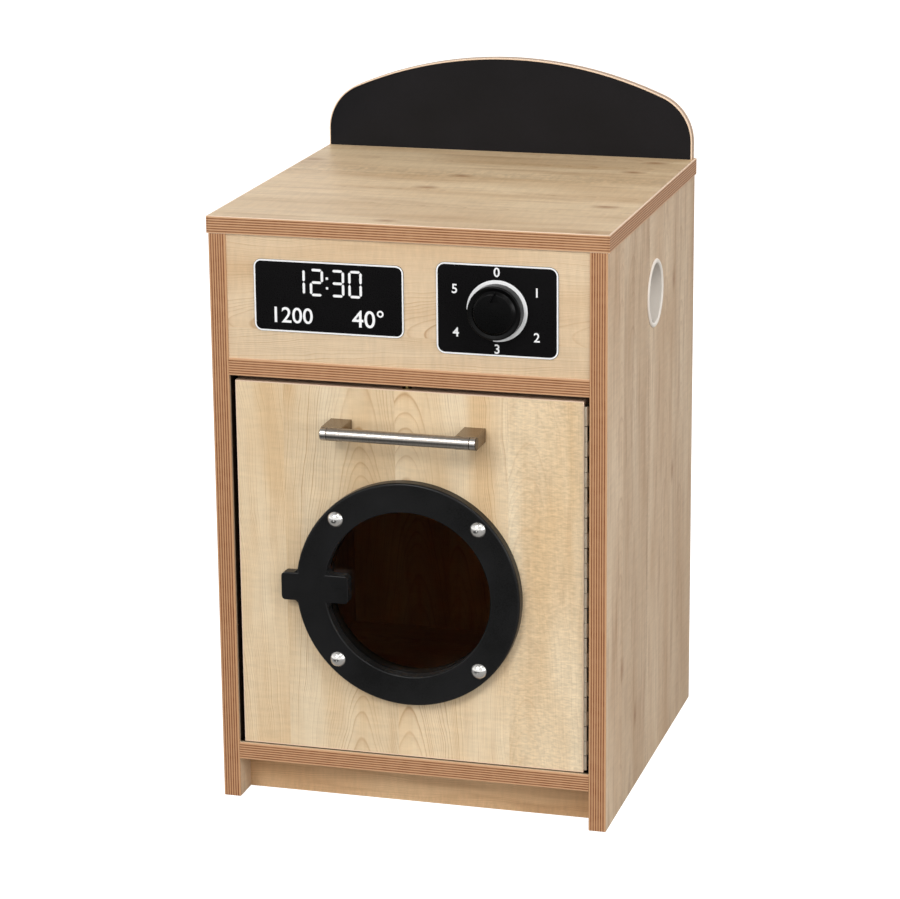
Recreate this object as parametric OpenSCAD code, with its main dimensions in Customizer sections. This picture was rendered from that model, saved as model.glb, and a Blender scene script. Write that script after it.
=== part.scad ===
// Toy washing machine: a small maple-faced cabinet with ply-effect edge bands, a black arched
// upstand, two printed plates, a turning dial, and a hinged door with a round black window ring.
// Millimetres, +Z up, +X to the right of someone facing the door, the front towards -Y.
// The origin is at floor level, in the middle of the overall width and depth.

/* [Boards] */
// Thickness of the faced boards
board_t = 18; // [15:0.5:22]
// Thickness of the ply-effect edge bands
band_t = 2; // [1.2:0.1:3]
// Radius on the front arrises of the edge bands
band_r = 0.8; // [0.2:0.1:1]
// Width over the two side panels
case_w = 412; // [396:1:480]
// Depth of the cabinet, front bands included
case_d = 415; // [380:1:520]
// Height of the side panels
side_h = 604; // [590:1:680]
// Thickness of the back panel
back_t = 6; // [3:0.5:10]
// Height of the back panel's lower edge above the floor
back_lift = 5; // [0:1:20]

/* [Shelves and plinth] */
// Height of the plinth board
plinth_h = 42.5; // [30:0.5:60]
// Distance of the plinth behind the front of the cabinet
plinth_recess = 33; // [20:1:60]
// Height of the fascia, from the middle shelf to the worktop
fascia_h = 128; // [118:1:150]

/* [Upstand] */
// Thickness of the upstand
upstand_t = 12; // [9:0.5:18]
// Thickness of the edge band round the upstand's arch
arch_band_t = 1.5; // [1:0.1:3]
// Place of the upstand's middle, left of the middle of the worktop
upstand_x = -1; // [-2:0.1:0]
// Height of the upstand's straight ends above the worktop
upstand_end_h = 18; // [8:1:40]
// Radius of the upstand's shoulders
shoulder_r = 54; // [30:1:80]
// Radius of the long arch along the upstand's top
arch_r = 437; // [380:1:600]

/* [Printed plates] */
// Thickness of the printed plates
plate_t = 1; // [0.5:0.1:2]
// Width of the display plate
display_w = 157; // [120:1:165]
// Height of the display plate
display_h = 74; // [50:1:90]
// Corner radius of the display plate
display_r = 8; // [2:0.5:12]
// Place of the display plate's centre, left of the middle
display_x = -80.5; // [-90:0.5:-70]
// Height of the display plate's centre above the middle shelf
display_up = 67.5; // [55:0.5:75]
// Width of the dial plate
dial_plate_w = 125; // [100:1:135]
// Height of the dial plate
dial_plate_h = 93; // [80:1:110]
// Corner radius of the dial plate
dial_plate_r = 9; // [2:0.5:12]
// Place of the dial, right of the middle
dial_x = 94; // [80:0.5:100]
// Height of the dial above the middle shelf
dial_up = 64.5; // [58:0.5:70]

/* [Dial] */
// Radius of the dial's skirt
skirt_r = 27.3; // [25:0.1:32]
// Height of the skirt's front face above its back
skirt_h = 13; // [10:0.5:14]
// Radius of the raised cap
cap_r = 20.5; // [16:0.1:22]
// Width of the slope at the foot of the cap
cap_slope = 2; // [0.5:0.1:2.5]
// Height of the cap's face above the skirt's back
cap_h = 15.5; // [15:0.1:22]
// Wall of the moulded dial
dial_wall = 2.5; // [1.5:0.1:4]
// Radius of the hub round the spindle
hub_r = 6.5; // [5:0.1:8]
// Depth of the pointer sunk in the cap
pointer_depth = 3; // [0.5:0.1:4]
// Width of the pointer at its foot
pointer_w = 9; // [4:0.1:10]
// Length of the pointer, in from the foot of the cap
pointer_l = 11; // [8:0.5:13]
// Turn of the dial as it stands, clockwise from upright, in degrees
dial_turned = 6; // [0:1:359]
// Radius of the spindle
spindle_r = 3; // [2.5:0.1:4]
// Depth of the flat that keys the spindle in the hub
spindle_flat = 1; // [0.5:0.1:1.5]
// Length of the spindle inside the hub
spindle_in_hub = 10; // [6:0.5:11]
// Running clearance of the spindle in its bush
spindle_clear = 0.05; // [0.02:0.01:0.1]
// Wall of the nylon bush
bush_wall = 2; // [1:0.1:3]
// Radius of the bush's thrust flange
bush_flange_r = 8; // [6.5:0.1:10]
// Thickness of the bush's thrust flange
bush_flange_t = 1.2; // [0.8:0.1:2]
// Radius of the washer behind the fascia
washer_r = 7; // [5.5:0.1:9]
// Thickness of the washer
washer_t = 1.2; // [0.8:0.1:2]
// Width of the lock nut across its flats
nut_af = 10; // [8:0.1:13]
// Height of the lock nut
nut_h = 6; // [4:0.1:8]

/* [Door] */
// Distance of the door's face behind the front of the cabinet
door_recess = 3.5; // [2.5:0.1:5]
// Thickness of the door's edge bands
door_band_t = 1; // [0.5:0.1:2]
// Gap between the door and the left side panel
door_gap_left = 5.5; // [4:0.1:8]
// Gap between the door and the right side panel, which holds the hinge
door_gap_right = 6.3; // [5:0.1:7.5]
// Gap above the door
door_gap_top = 5.5; // [3:0.1:8]
// Gap below the door
door_gap_bottom = 1.2; // [0.8:0.1:3]

/* [Door window] */
// Outer radius of the window ring
ring_r = 118.6; // [112:0.1:124]
// Inner radius of the window ring
ring_hole_r = 87.5; // [80:0.5:90]
// Thickness of the window ring
ring_t = 12; // [9:0.5:18]
// Rounding of the ring's outer front arris
ring_arris = 2.5; // [1:0.1:3]
// Rounding of the ring's inner front arris
ring_inner_arris = 1.5; // [0.5:0.1:2.5]
// Height of the ring's centre above the middle of the door
ring_up = -16.7; // [-25:0.1:0]
// Height of the tab on the ring
tab_h = 30; // [20:0.5:40]
// Reach of the tab past the ring's outer edge
tab_out = 16; // [8:0.5:24]
// Reach of the tab past the ring's inner edge
tab_in = 25; // [10:0.5:30]
// Radius of the tab's corners
tab_r = 5.5; // [3:0.1:8]
// Radius of the fillets between the tab and the ring
tab_fillet = 6; // [3:0.1:8]
// Radius of the window pane
pane_r = 96; // [94:0.5:100]
// Thickness of the window pane
pane_t = 3; // [2:0.1:4]
// Thickness of the black edging inside the door's window hole
lining_t = 1; // [0.5:0.1:1.5]
// Radius of the circle that the ring's screws stand on
ring_screw_pcd_r = 106.2; // [104:0.1:108]
// Radius of the dome caps
dome_r = 8.2; // [7:0.1:9]
// Height of the dome caps
dome_h = 4.5; // [3:0.1:6]

/* [Bar handle] */
// Length of the bar, end caps included
bar_l = 162; // [140:1:200]
// Radius of the bar
bar_r = 6.4; // [5:0.1:6.8]
// Wall of the bar's tube
bar_wall = 1; // [0.8:0.1:2]
// Distance of the bar's axis in front of the door's face
bar_reach = 34.1; // [26:0.1:40]
// Height of the bar's axis below the top of the door
bar_down = 40.7; // [30:0.1:50]
// Width of each leg
leg_w = 22; // [16:0.5:28]
// Height of each leg
leg_h = 14; // [13:0.1:18]
// Length of the end caps that show
end_cap_l = 6.5; // [4:0.1:9]
// Distance between the handle's two screws
handle_screw_pitch = 138; // [126:1:150]
// Length of the handle's screws inside the legs
leg_screw_bite = 16; // [10:0.5:18]
// Height of the screws' pan heads
pan_head_h = 2.4; // [1.8:0.1:3]

/* [Piano hinge] */
// Radius of the hinge's barrel
barrel_r = 1.85; // [1.6:0.05:2.1]
// Thickness of the hinge's leaves
leaf_t = 0.8; // [0.6:0.05:0.9]
// Distance of the hinge's axis behind the front of the cabinet
hinge_back = 1.4; // [1.2:0.05:2]
// Distance of the hinge's axis from the edge of the door
hinge_from_door = 2.4; // [2.2:0.05:2.6]
// Length of one knuckle with its gap
knuckle_l = 15.78; // [12:0.01:20]
// Gap at the ends of each knuckle
knuckle_gap = 0.7; // [0.6:0.01:0.9]
// How far the door's knuckles have settled onto the ones below
knuckle_drop = 0.45; // [0:0.01:0.5]
// Distance of the hinge's ends from the ends of the door
hinge_end_gap = 4; // [2:0.5:8]
// Depth of each leaf, back from the barrel
leaf_d = 16; // [12:0.5:18]
// Number of screws in each leaf
leaf_screws = 7; // [4:1:9]
// Running clearance of the hinge pin in the knuckles
pin_clear = 0.04; // [0.02:0.01:0.08]

/* [Bullet catch] */
// Place of the catch, left of the middle
catch_x = -3; // [-60:0.5:60]
// Radius of the catch's barrel in the top edge of the door
barrel_out_r = 4; // [3.5:0.1:5]
// Length of the catch's barrel
barrel_l = 14; // [11:0.5:20]
// Wall of the catch's barrel
barrel_wall = 0.8; // [0.6:0.1:1]
// Radius of the bullet's tip
bullet_r = 1.9; // [1.5:0.1:2.3]
// Thickness of the strike plate under the middle shelf
strike_t = 1; // [0.8:0.1:1.5]
// Gap left between the bullet and the strike plate, so that the rigid door can pass
catch_gap = 0.3; // [0.2:0.05:0.5]

/* [Hand holds] */
// Radius of the hand-hold's flange
flange_r = 36; // [30:0.5:40]
// Radius of the hand-hold's opening
hold_r = 31; // [25:0.5:33]
// Wall of the hand-hold's sleeve
sleeve_wall = 2; // [1.5:0.1:2.5]
// Thickness of the flange that stands on the side panel
flange_t = 2; // [1:0.1:3]
// Distance of the hand-hold's centre behind the front
hold_back = 215; // [150:1:260]
// Distance of the hand-hold's centre below the worktop
hold_down = 87.5; // [60:0.5:90]

/* [Fixings] */
// Diameter of the dowels in the cabinet
dowel_d = 8; // [6:0.5:10]
// Length of the dowels in the cabinet
dowel_l = 30; // [25:1:35]
// Distance of the first dowels behind the front of the cabinet
dowel_front = 60; // [50:1:100]
// Distance of the last dowels before the back of the cabinet
dowel_rear = 75; // [50:1:100]
// Distance of the fascia's dowels from its upper and lower edges
dowel_edge = 25; // [20:1:40]
// Diameter of the dowels under the upstand
small_dowel_d = 5; // [4:0.5:6]
// Distance of the upstand's outer dowels from the side of the cabinet
small_dowel_inset = 82; // [60:1:120]
// Shank radius of the small screws
small_screw_r = 1.4; // [1.2:0.1:1.6]
// Head radius of the small screws
small_head_r = 2.7; // [2.4:0.1:3]
// Shank radius of the large screws
large_screw_r = 2; // [1.7:0.1:2.5]
// Head radius of the large screws
large_head_r = 4; // [3.5:0.1:4.5]
// Length of a screw inside the board that it holds in
screw_bite = 13; // [10:0.5:14]
// Distance of the back panel's outer screws from the side panels
back_screw_inset = 38; // [20:1:80]
// Clearance round dowels and screws in their holes
fix_clear = 0.05; // [0.02:0.01:0.1]

/* [Hidden] */
$fn = 72;

// Amount by which a cut runs past the face it goes through
past = 1;

maple = "#dcc39c";
ply_edge = "#b98560";
black_paint = "#1c1c1d";
steel = "#b9bab9";

half_w = case_w / 2;
inner_x = half_w - board_t;
top_z = side_h + board_t;
base_z = plinth_h;
base_top = base_z + board_t;
mid_top = side_h - fascia_h;
mid_shelf_z = mid_top - board_t;
back_y = case_d - back_t;
upstand_y = case_d - upstand_t;

door_x0 = -inner_x + door_gap_left;
door_x1 = inner_x - door_gap_right;
door_z0 = base_top + door_gap_bottom;
door_z1 = mid_shelf_z - door_gap_top;
door_y0 = door_recess;
door_y1 = door_recess + board_t;
window_z = (door_z0 + door_z1) / 2 + ring_up;

dial_z = mid_top + dial_up;
display_z = mid_top + display_up;
plate_y = band_t - plate_t;

bar_y = door_y0 - bar_reach;
bar_z = door_z1 - bar_down;
front_reach = bar_reach + bar_r - door_recess;

hold_z = side_h - hold_down;
hold_cut_r = hold_r + sleeve_wall + fix_clear;

hinge_x = door_x1 + hinge_from_door;
hinge_from_side = inner_x - hinge_x;
hinge_z0 = door_z0 + hinge_end_gap;
hinge_l = door_z1 - door_z0 - 2 * hinge_end_gap;
knuckles = floor(hinge_l / knuckle_l);
pin_hole_r = barrel_r - leaf_t;
pin_r = pin_hole_r - pin_clear;

// Points of an arc round [cx, cy] from angle a0 to a1
function arc(cx, cy, r, a0, a1, steps = 6) =
    [for (i = [0:steps]) let (a = a0 + (a1 - a0) * i / steps) [cx + r * cos(a), cy + r * sin(a)]];

// Moves a piece from the cabinet's own front to the shared frame
module placed() {
    translate([0, (front_reach - case_d) / 2, 0]) children();
}

// Turns a piece drawn flat to face the front: its Y goes up and its Z towards the viewer
module facing(x, y, z) {
    translate([x, y, z]) rotate([90, 0, 0]) children();
}

// Box between two opposite corners
module slab(low, high) {
    translate(low) cube(high - low);
}

// Both mirror images of a piece about the middle of the cabinet
module both_sides() {
    children();
    mirror([1, 0, 0]) children();
}

// Rectangle with rounded corners, centred
module rounded_rect(w, h, r) {
    square([w - 2 * r, h], center = true);
    square([w, h - 2 * r], center = true);
    for (x = [-1, 1], y = [-1, 1]) translate([x * (w / 2 - r), y * (h / 2 - r)]) circle(r);
}

// Section of an edge band: its back lies on Y = thick, its front arrises are rounded
module band_section(wide, thick, r) {
    polygon(concat(
        [[0, thick]],
        arc(r, r, r, 180, 270, 4),
        arc(wide - r, r, r, 270, 360, 4),
        [[wide, thick]]
    ));
}

// Upright edge band on the front of a panel, from height z0 to z1
module upright_band(x, z0, z1, thick = band_t, wide = board_t) {
    translate([x, 0, z0]) linear_extrude(z1 - z0) band_section(wide, thick, band_r);
}

// Level edge band on the front of a board, from x0 to x1, lower edge at z
module level_band(x0, x1, z, thick = band_t, wide = board_t) {
    translate([x1, 0, z]) rotate([0, -90, 0]) linear_extrude(x1 - x0) band_section(wide, thick, band_r);
}

// Countersunk screw: its head's face on Z = 0, its point towards +Z; grow makes its hole
module flush_screw(shank_r, head_r, long, grow = 0) {
    head_h = head_r - shank_r;
    cylinder(r1 = head_r + grow, r2 = shank_r + grow, h = head_h);
    cylinder(r = shank_r + grow, h = long + grow);
    if (grow > 0) translate([0, 0, -past]) cylinder(r = head_r + grow, h = past);
}

// Pan-head screw: the underside of its head on Z = 0, its point towards +Z
module pan_screw(shank_r, head_r, head_h, long, grow = 0) {
    translate([0, 0, -grow]) cylinder(r = shank_r + grow, h = long + 2 * grow);
    if (grow == 0) translate([0, 0, -head_h]) cylinder(r = head_r, h = head_h);
}

/* Fixings that join the boards */

dowel_into_side = board_t * 0.55;
// Height and depth of each dowel between a side panel and what stands against it
side_dowels = concat(
    [for (z = [base_z, mid_shelf_z], y = [dowel_front, case_d - dowel_rear]) [y, z + board_t / 2]],
    [for (z = [mid_top + dowel_edge, side_h - dowel_edge]) [band_t + board_t / 2, z]],
    [[plinth_recess + board_t / 2, plinth_h / 2]]
);

// Dowels through the joint between the left side panel and the boards inside it
module side_dowel_row(grow = 0) {
    for (p = side_dowels) {
        translate([-inner_x - dowel_into_side - grow, p[0], p[1]])
            rotate([0, 90, 0]) cylinder(d = dowel_d + 2 * grow, h = dowel_l + 2 * grow);
    }
}

// Upright dowels between the left side panel and the worktop
module top_dowel_row(grow = 0) {
    for (y = [dowel_front, case_d / 2, case_d - dowel_rear]) {
        translate([-half_w + board_t / 2, y, side_h - dowel_l + dowel_into_side - grow])
            cylinder(d = dowel_d + 2 * grow, h = dowel_l + 2 * grow);
    }
}

// Upright dowels between the worktop and the upstand
module upstand_dowel_row(grow = 0) {
    for (x = [-1, 0, 1] * (half_w - small_dowel_inset)) {
        translate([x, case_d - upstand_t / 2, top_z - dowel_into_side - grow])
            cylinder(d = small_dowel_d + 2 * grow, h = dowel_l + 2 * grow);
    }
}

module case_dowels() {
    color("#c9a774") {
        both_sides() {
            side_dowel_row();
            top_dowel_row();
        }
    }
}

module upstand_dowels() {
    color("#c9a774") upstand_dowel_row();
}

/* Cabinet boards */

// Side panel, drawn as the left one, with its front edge left bare for the band
module side_panel() {
    difference() {
        slab([-half_w, band_t, 0], [-inner_x, case_d, side_h]);
        translate([-half_w - past, hold_back, hold_z])
            rotate([0, 90, 0]) cylinder(r = hold_cut_r, h = board_t + 2 * past);
        side_dowel_row(fix_clear);
        top_dowel_row(fix_clear);
    }
}

module left_side() {
    color(maple) side_panel();
}

module right_side() {
    color(maple) difference() {
        mirror([1, 0, 0]) side_panel();
        case_screw_row(fix_clear);
    }
}

module side_bands() {
    color(ply_edge) both_sides() upright_band(-half_w, 0, side_h);
}

// Board that lies between the side panels
module level_board(y0, y1, z0, z1) {
    difference() {
        slab([-inner_x, y0, z0], [inner_x, y1, z1]);
        both_sides() side_dowel_row(fix_clear);
    }
}

module base_shelf() {
    color(maple) difference() {
        level_board(band_t, back_y, base_z, base_top);
        back_screw_row(fix_clear);
    }
}

module middle_shelf() {
    color(maple) difference() {
        level_board(band_t, back_y, mid_shelf_z, mid_top);
        back_screw_row(fix_clear);
        strike_screw_pair(fix_clear);
        at_catch(mid_shelf_z - past) cylinder(r = dish_r, h = dish_h + past);
    }
}

module shelf_bands() {
    color(ply_edge) {
        level_band(-inner_x, inner_x, base_z);
        level_band(-inner_x, inner_x, mid_shelf_z);
    }
}

module plinth() {
    color(maple) level_board(plinth_recess, plinth_recess + board_t, 0, plinth_h);
}

module fascia() {
    color(maple) difference() {
        level_board(band_t, band_t + board_t, mid_top, side_h);
        facing(dial_x, band_t + board_t + past, dial_z)
            cylinder(r = bush_r + fix_clear, h = board_t + 2 * past);
    }
}

// Countersunk screws through the back panel into the two shelves
module back_screw_row(grow = 0) {
    for (x = [-1, 0, 1] * (inner_x - back_screw_inset), z = [base_z, mid_shelf_z])
        facing(x, case_d, z + board_t / 2)
            flush_screw(small_screw_r, small_head_r, back_t + screw_bite, grow);
}

module back_panel() {
    color(maple) difference() {
        slab([-inner_x, back_y, back_lift], [inner_x, case_d, side_h]);
        back_screw_row(fix_clear);
    }
}

module back_screws() {
    color(steel) back_screw_row();
}

module worktop() {
    color(maple) difference() {
        slab([-half_w, band_t, side_h], [half_w, case_d, top_z]);
        both_sides() top_dowel_row(fix_clear);
        upstand_dowel_row(fix_clear);
    }
}

module worktop_front_band() {
    color(ply_edge) level_band(-half_w, half_w, side_h);
}

// The side bands cover the ends of the front one
module worktop_side_bands() {
    color(ply_edge) both_sides() {
        translate([-half_w - band_t, case_d, side_h])
            rotate([90, 0, 0]) linear_extrude(case_d)
                mirror([1, -1, 0]) band_section(board_t, band_t, band_r);
    }
}

/* Upstand */

// Outline of the upstand with its edge trimmed back by inset: straight ends, shoulders and a
// long arch that meet as arcs with shared centres, so the band keeps an even thickness
module arch_outline(inset = 0) {
    w = half_w;
    shoulder_x = w - shoulder_r;
    arch_low = sqrt(pow(arch_r - shoulder_r, 2) - pow(shoulder_x, 2));
    reach = arch_r / arch_low * 1.1;
    intersection() {
        translate([-w, 0]) square([2 * w, arch_r]);
        union() {
            both_sides() translate([shoulder_x, upstand_end_h]) circle(shoulder_r - inset);
            translate([-w + inset, 0]) square([2 * (w - inset), upstand_end_h]);
            translate([-shoulder_x, 0]) square([2 * shoulder_x, upstand_end_h]);
            intersection() {
                translate([0, upstand_end_h - arch_low]) circle(arch_r - inset, $fn = 360);
                polygon([
                    [0, upstand_end_h - arch_low],
                    [shoulder_x * reach, upstand_end_h - arch_low + arch_low * reach],
                    [-shoulder_x * reach, upstand_end_h - arch_low + arch_low * reach]
                ]);
            }
        }
    }
}

module upstand() {
    color(black_paint) difference() {
        facing(upstand_x, case_d, top_z) linear_extrude(upstand_t) arch_outline(arch_band_t);
        upstand_dowel_row(fix_clear);
    }
}

module upstand_band() {
    color(ply_edge) facing(upstand_x, case_d, top_z) linear_extrude(upstand_t) difference() {
        arch_outline();
        arch_outline(arch_band_t);
    }
}

/* Printed plates on the fascia */

module display_plate() {
    color(black_paint) facing(display_x, band_t, display_z)
        linear_extrude(plate_t) rounded_rect(display_w, display_h, display_r);
}

module dial_plate() {
    color(black_paint) facing(dial_x, band_t, dial_z) linear_extrude(plate_t) difference() {
        rounded_rect(dial_plate_w, dial_plate_h, dial_plate_r);
        circle(bush_r + fix_clear);
    }
}

/* Dial, turning on a spindle in a bush through the fascia */

bush_r = spindle_r + spindle_clear + bush_wall;
thrust_gap = 0.3;
// Heights above the plate's face: the dial's back, its hub's end and the fascia's back
dial_back = 0.5;
hub_back = bush_flange_t + thrust_gap;
behind_fascia = -(plate_t + board_t);

module on_dial_axis() {
    facing(dial_x, plate_y, dial_z) children();
}

// Outer form of the dial: a skirt whose front face dips towards a raised, slightly domed cap
dial_sink = 1;
module dial_form() {
    skirt_arris = 1.5;
    cap_arris = 1.5;
    cap_rise = 0.6;
    rotate_extrude() polygon(concat(
        [[0, 0], [skirt_r, 0]],
        arc(skirt_r - skirt_arris, skirt_h - skirt_arris, skirt_arris, 0, 90),
        [[cap_r + cap_slope, skirt_h - dial_sink]],
        arc(cap_r - cap_arris, cap_h - cap_arris, cap_arris, 0, 90),
        [[0, cap_h + cap_rise]]
    ));
}

// Shaft section with a flat for the key
module keyed_circle(r) {
    difference() {
        circle(r);
        translate([-r - past, r - spindle_flat]) square([2 * (r + past), r]);
    }
}

module dial() {
    rib_t = 1.6;
    pointer_tip = 0.4;
    foot_r = cap_r + cap_slope;
    color(black_paint) on_dial_axis() rotate(-dial_turned) difference() {
        translate([0, 0, dial_back]) dial_form();
        // The hollow back, with the hub and four ribs left standing in it
        difference() {
            translate([0, 0, dial_back - past]) {
                cylinder(r = skirt_r - dial_wall, h = skirt_h - dial_sink - dial_wall + past);
                cylinder(r = cap_r - dial_wall, h = cap_h - pointer_depth - dial_wall + past);
            }
            translate([0, 0, hub_back]) cylinder(r = hub_r, h = cap_h);
            for (a = [45, 135]) translate([0, 0, hub_back + past]) rotate(a)
                translate([-skirt_r, -rib_t / 2, 0]) cube([2 * skirt_r, rib_t, cap_h]);
        }
        translate([0, 0, hub_back - past])
            linear_extrude(spindle_in_hub + past + fix_clear) keyed_circle(spindle_r + fix_clear);
        // The pointer, sunk in the cap: a triangle whose tip runs out at the foot of the cap
        translate([0, 0, dial_back + cap_h - pointer_depth]) linear_extrude(pointer_depth + past)
            polygon([
                [-pointer_w / 2, foot_r - pointer_l], [pointer_w / 2, foot_r - pointer_l],
                [pointer_tip, foot_r], [-pointer_tip, foot_r]
            ]);
    }
}

module dial_spindle() {
    spindle_tail = washer_t + thrust_gap + nut_h + 2;
    color(steel) on_dial_axis() {
        translate([0, 0, hub_back]) rotate(-dial_turned)
            linear_extrude(spindle_in_hub) keyed_circle(spindle_r);
        translate([0, 0, behind_fascia - spindle_tail])
            cylinder(r = spindle_r, h = hub_back - behind_fascia + spindle_tail);
    }
}

module dial_bush() {
    color("#e9e7e1") on_dial_axis() difference() {
        union() {
            translate([0, 0, behind_fascia]) cylinder(r = bush_r, h = -behind_fascia + bush_flange_t);
            cylinder(r = bush_flange_r, h = bush_flange_t);
        }
        translate([0, 0, behind_fascia - past])
            cylinder(r = spindle_r + spindle_clear, h = -behind_fascia + bush_flange_t + 2 * past);
    }
}

module dial_washer() {
    color(steel) on_dial_axis() translate([0, 0, behind_fascia - thrust_gap - washer_t]) difference() {
        cylinder(r = washer_r, h = washer_t);
        translate([0, 0, -past]) cylinder(r = spindle_r + fix_clear, h = washer_t + 2 * past);
    }
}

// Hexagon nut with its corners turned off towards a smooth locking collar behind
module dial_nut() {
    collar_h = nut_h * 0.3;
    hex_h = nut_h - collar_h;
    across_r = nut_af / 2;
    color(steel) on_dial_axis()
        translate([0, 0, behind_fascia - thrust_gap - washer_t - nut_h]) difference() {
            union() {
                cylinder(r = across_r * 0.9, h = nut_h);
                translate([0, 0, collar_h]) intersection() {
                    cylinder(r = across_r / cos(30), h = hex_h, $fn = 6);
                    cylinder(r1 = across_r, r2 = across_r + hex_h, h = hex_h);
                }
            }
            translate([0, 0, -past]) cylinder(r = spindle_r + fix_clear, h = nut_h + 2 * past);
        }
}

/* Door */

module at_window() {
    facing(0, door_y0, window_z) children();
}

module door_panel() {
    color(maple) difference() {
        slab([door_x0 + door_band_t, door_y0, door_z0 + door_band_t],
             [door_x1 - door_band_t, door_y1, door_z1 - door_band_t]);
        at_window() {
            translate([0, 0, -board_t - past])
                cylinder(r = ring_hole_r + lining_t, h = board_t + 2 * past);
            translate([0, 0, -pane_t]) cylinder(r = pane_r + fix_clear, h = pane_t + past);
        }
        ring_screw_set(fix_clear);
        handle_screw_pair(fix_clear);
        door_screw_row(fix_clear);
        barrel_hole();
    }
}

// Four bands, the upright ones between the level ones
module door_bands() {
    color(ply_edge) difference() {
        union() {
            for (z = [door_z0, door_z1 - door_band_t])
                slab([door_x0, door_y0, z], [door_x1, door_y1, z + door_band_t]);
            for (x = [door_x0, door_x1 - door_band_t])
                slab([x, door_y0, door_z0 + door_band_t],
                     [x + door_band_t, door_y1, door_z1 - door_band_t]);
        }
        door_screw_row(fix_clear);
        barrel_hole();
    }
}

/* Window ring, pane and their fixings */

// Ring with rounded front arrises, its back on Z = 0
module ring_body() {
    rotate_extrude() polygon(concat(
        [[ring_hole_r, 0], [ring_r, 0]],
        arc(ring_r - ring_arris, ring_t - ring_arris, ring_arris, 0, 90),
        arc(ring_hole_r + ring_inner_arris, ring_t - ring_inner_arris, ring_inner_arris, 90, 180)
    ));
}

// Tab that crosses the ring on its left: a rounded outline with its front arris rounded too
module ring_tab() {
    tab_l = ring_r - ring_hole_r + tab_out + tab_in;
    soft = ring_inner_arris;
    translate([-ring_r - tab_out, -tab_h / 2, 0]) intersection() {
        translate([tab_l / 2, tab_h / 2, 0]) linear_extrude(ring_t) rounded_rect(tab_l, tab_h, tab_r);
        translate([tab_l, 0, 0]) rotate([0, -90, 0]) linear_extrude(tab_l)
            mirror([1, -1, 0]) rounded_front(tab_h, soft);
        translate([0, tab_h, 0]) rotate([90, 0, 0]) linear_extrude(tab_h) rounded_front(tab_l, soft);
    }
}

// Rectangle w wide and as high as the ring is thick, with its two upper corners rounded
module rounded_front(w, r) {
    polygon(concat(
        [[0, 0], [w, 0]],
        arc(w - r, ring_t - r, r, 0, 90, 4),
        arc(r, ring_t - r, r, 90, 180, 4)
    ));
}

// Fillet in the corner between the tab's edge and a circle of radius r, outside it or inside it
module tab_corner(r, inside) {
    f = tab_fillet;
    rf = inside ? r - f : r + f;
    cy = tab_h / 2 + f;
    cx = -sqrt(rf * rf - cy * cy);
    touch = [cx, cy] * r / rf;
    into_ring = inside ? -3 : 3;
    difference() {
        polygon([[cx, tab_h / 2 - past], [cx, cy], touch, [touch[0] + into_ring, tab_h / 2 - past]]);
        translate([cx, cy]) circle(f);
    }
}

module window_ring() {
    color(black_paint) difference() {
        at_window() {
            ring_body();
            ring_tab();
            for (side = [0, 1]) mirror([0, side, 0]) {
                linear_extrude(ring_t - ring_arris) tab_corner(ring_r, false);
                linear_extrude(ring_t - ring_inner_arris) tab_corner(ring_hole_r, true);
            }
        }
        ring_screw_set(fix_clear);
    }
}

module window_pane() {
    color([0.25, 0.22, 0.2, 0.4]) at_window() translate([0, 0, -pane_t]) cylinder(r = pane_r, h = pane_t);
}

module window_lining() {
    color(black_paint) at_window() translate([0, 0, -board_t]) difference() {
        cylinder(r = ring_hole_r + lining_t, h = board_t - pane_t);
        translate([0, 0, -past]) cylinder(r = ring_hole_r, h = board_t + past);
    }
}

// Countersunk screw under each dome cap, its head flush with the ring's face
stem_r = 1.3;
stem_l = 3;
module at_ring_screws() {
    at_window() for (a = [45:90:315]) rotate(a) translate([ring_screw_pcd_r, 0, 0]) rotate(-a) children();
}

module ring_screw_set(grow = 0) {
    at_ring_screws() translate([0, 0, ring_t]) mirror([0, 0, 1])
        flush_screw(large_screw_r, large_head_r, ring_t + screw_bite, grow);
}

module ring_screws() {
    color(steel) difference() {
        ring_screw_set();
        at_ring_screws() translate([0, 0, ring_t - stem_l - fix_clear])
            cylinder(r = stem_r + fix_clear, h = stem_l + past);
    }
}

// Polished dome caps, each with a stem that screws into its screw's head
module dome_caps() {
    ball_r = (dome_r * dome_r + dome_h * dome_h) / (2 * dome_h);
    color("#e6e7e8") at_ring_screws() {
        translate([0, 0, ring_t]) intersection() {
            translate([0, 0, dome_h - ball_r]) sphere(ball_r);
            cylinder(r = dome_r + past, h = dome_h + past);
        }
        translate([0, 0, ring_t - stem_l]) cylinder(r = stem_r, h = stem_l + 0.5);
    }
}

/* Bar handle */

module along_bar(x0) {
    translate([x0, bar_y, bar_z]) rotate([0, 90, 0]) children();
}

module handle_bar() {
    tube_l = bar_l - 2 * end_cap_l;
    color(steel) along_bar(-tube_l / 2) difference() {
        cylinder(r = bar_r, h = tube_l);
        translate([0, 0, -past]) cylinder(r = bar_r - bar_wall, h = tube_l + 2 * past);
    }
}

// End caps that fill the tube's ends and carry on its outside
module handle_end_caps() {
    spigot_r = bar_r - bar_wall - fix_clear;
    spigot_l = 10;
    chamfer = 0.5;
    seam = 0.3;
    color("#cfcfcd") both_sides() along_bar(-bar_l / 2) rotate_extrude() polygon([
        [0, 0], [bar_r - chamfer, 0], [bar_r, chamfer],
        [bar_r, end_cap_l - seam], [bar_r - seam, end_cap_l],
        [spigot_r, end_cap_l], [spigot_r, end_cap_l + spigot_l], [0, end_cap_l + spigot_l]
    ]);
}

module handle_screw_pair(grow = 0) {
    both_sides() facing(-handle_screw_pitch / 2, door_y1, bar_z)
        pan_screw(large_screw_r, large_head_r, pan_head_h, board_t + leg_screw_bite, grow);
}

module handle_screws() {
    color(steel) handle_screw_pair();
}

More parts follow.
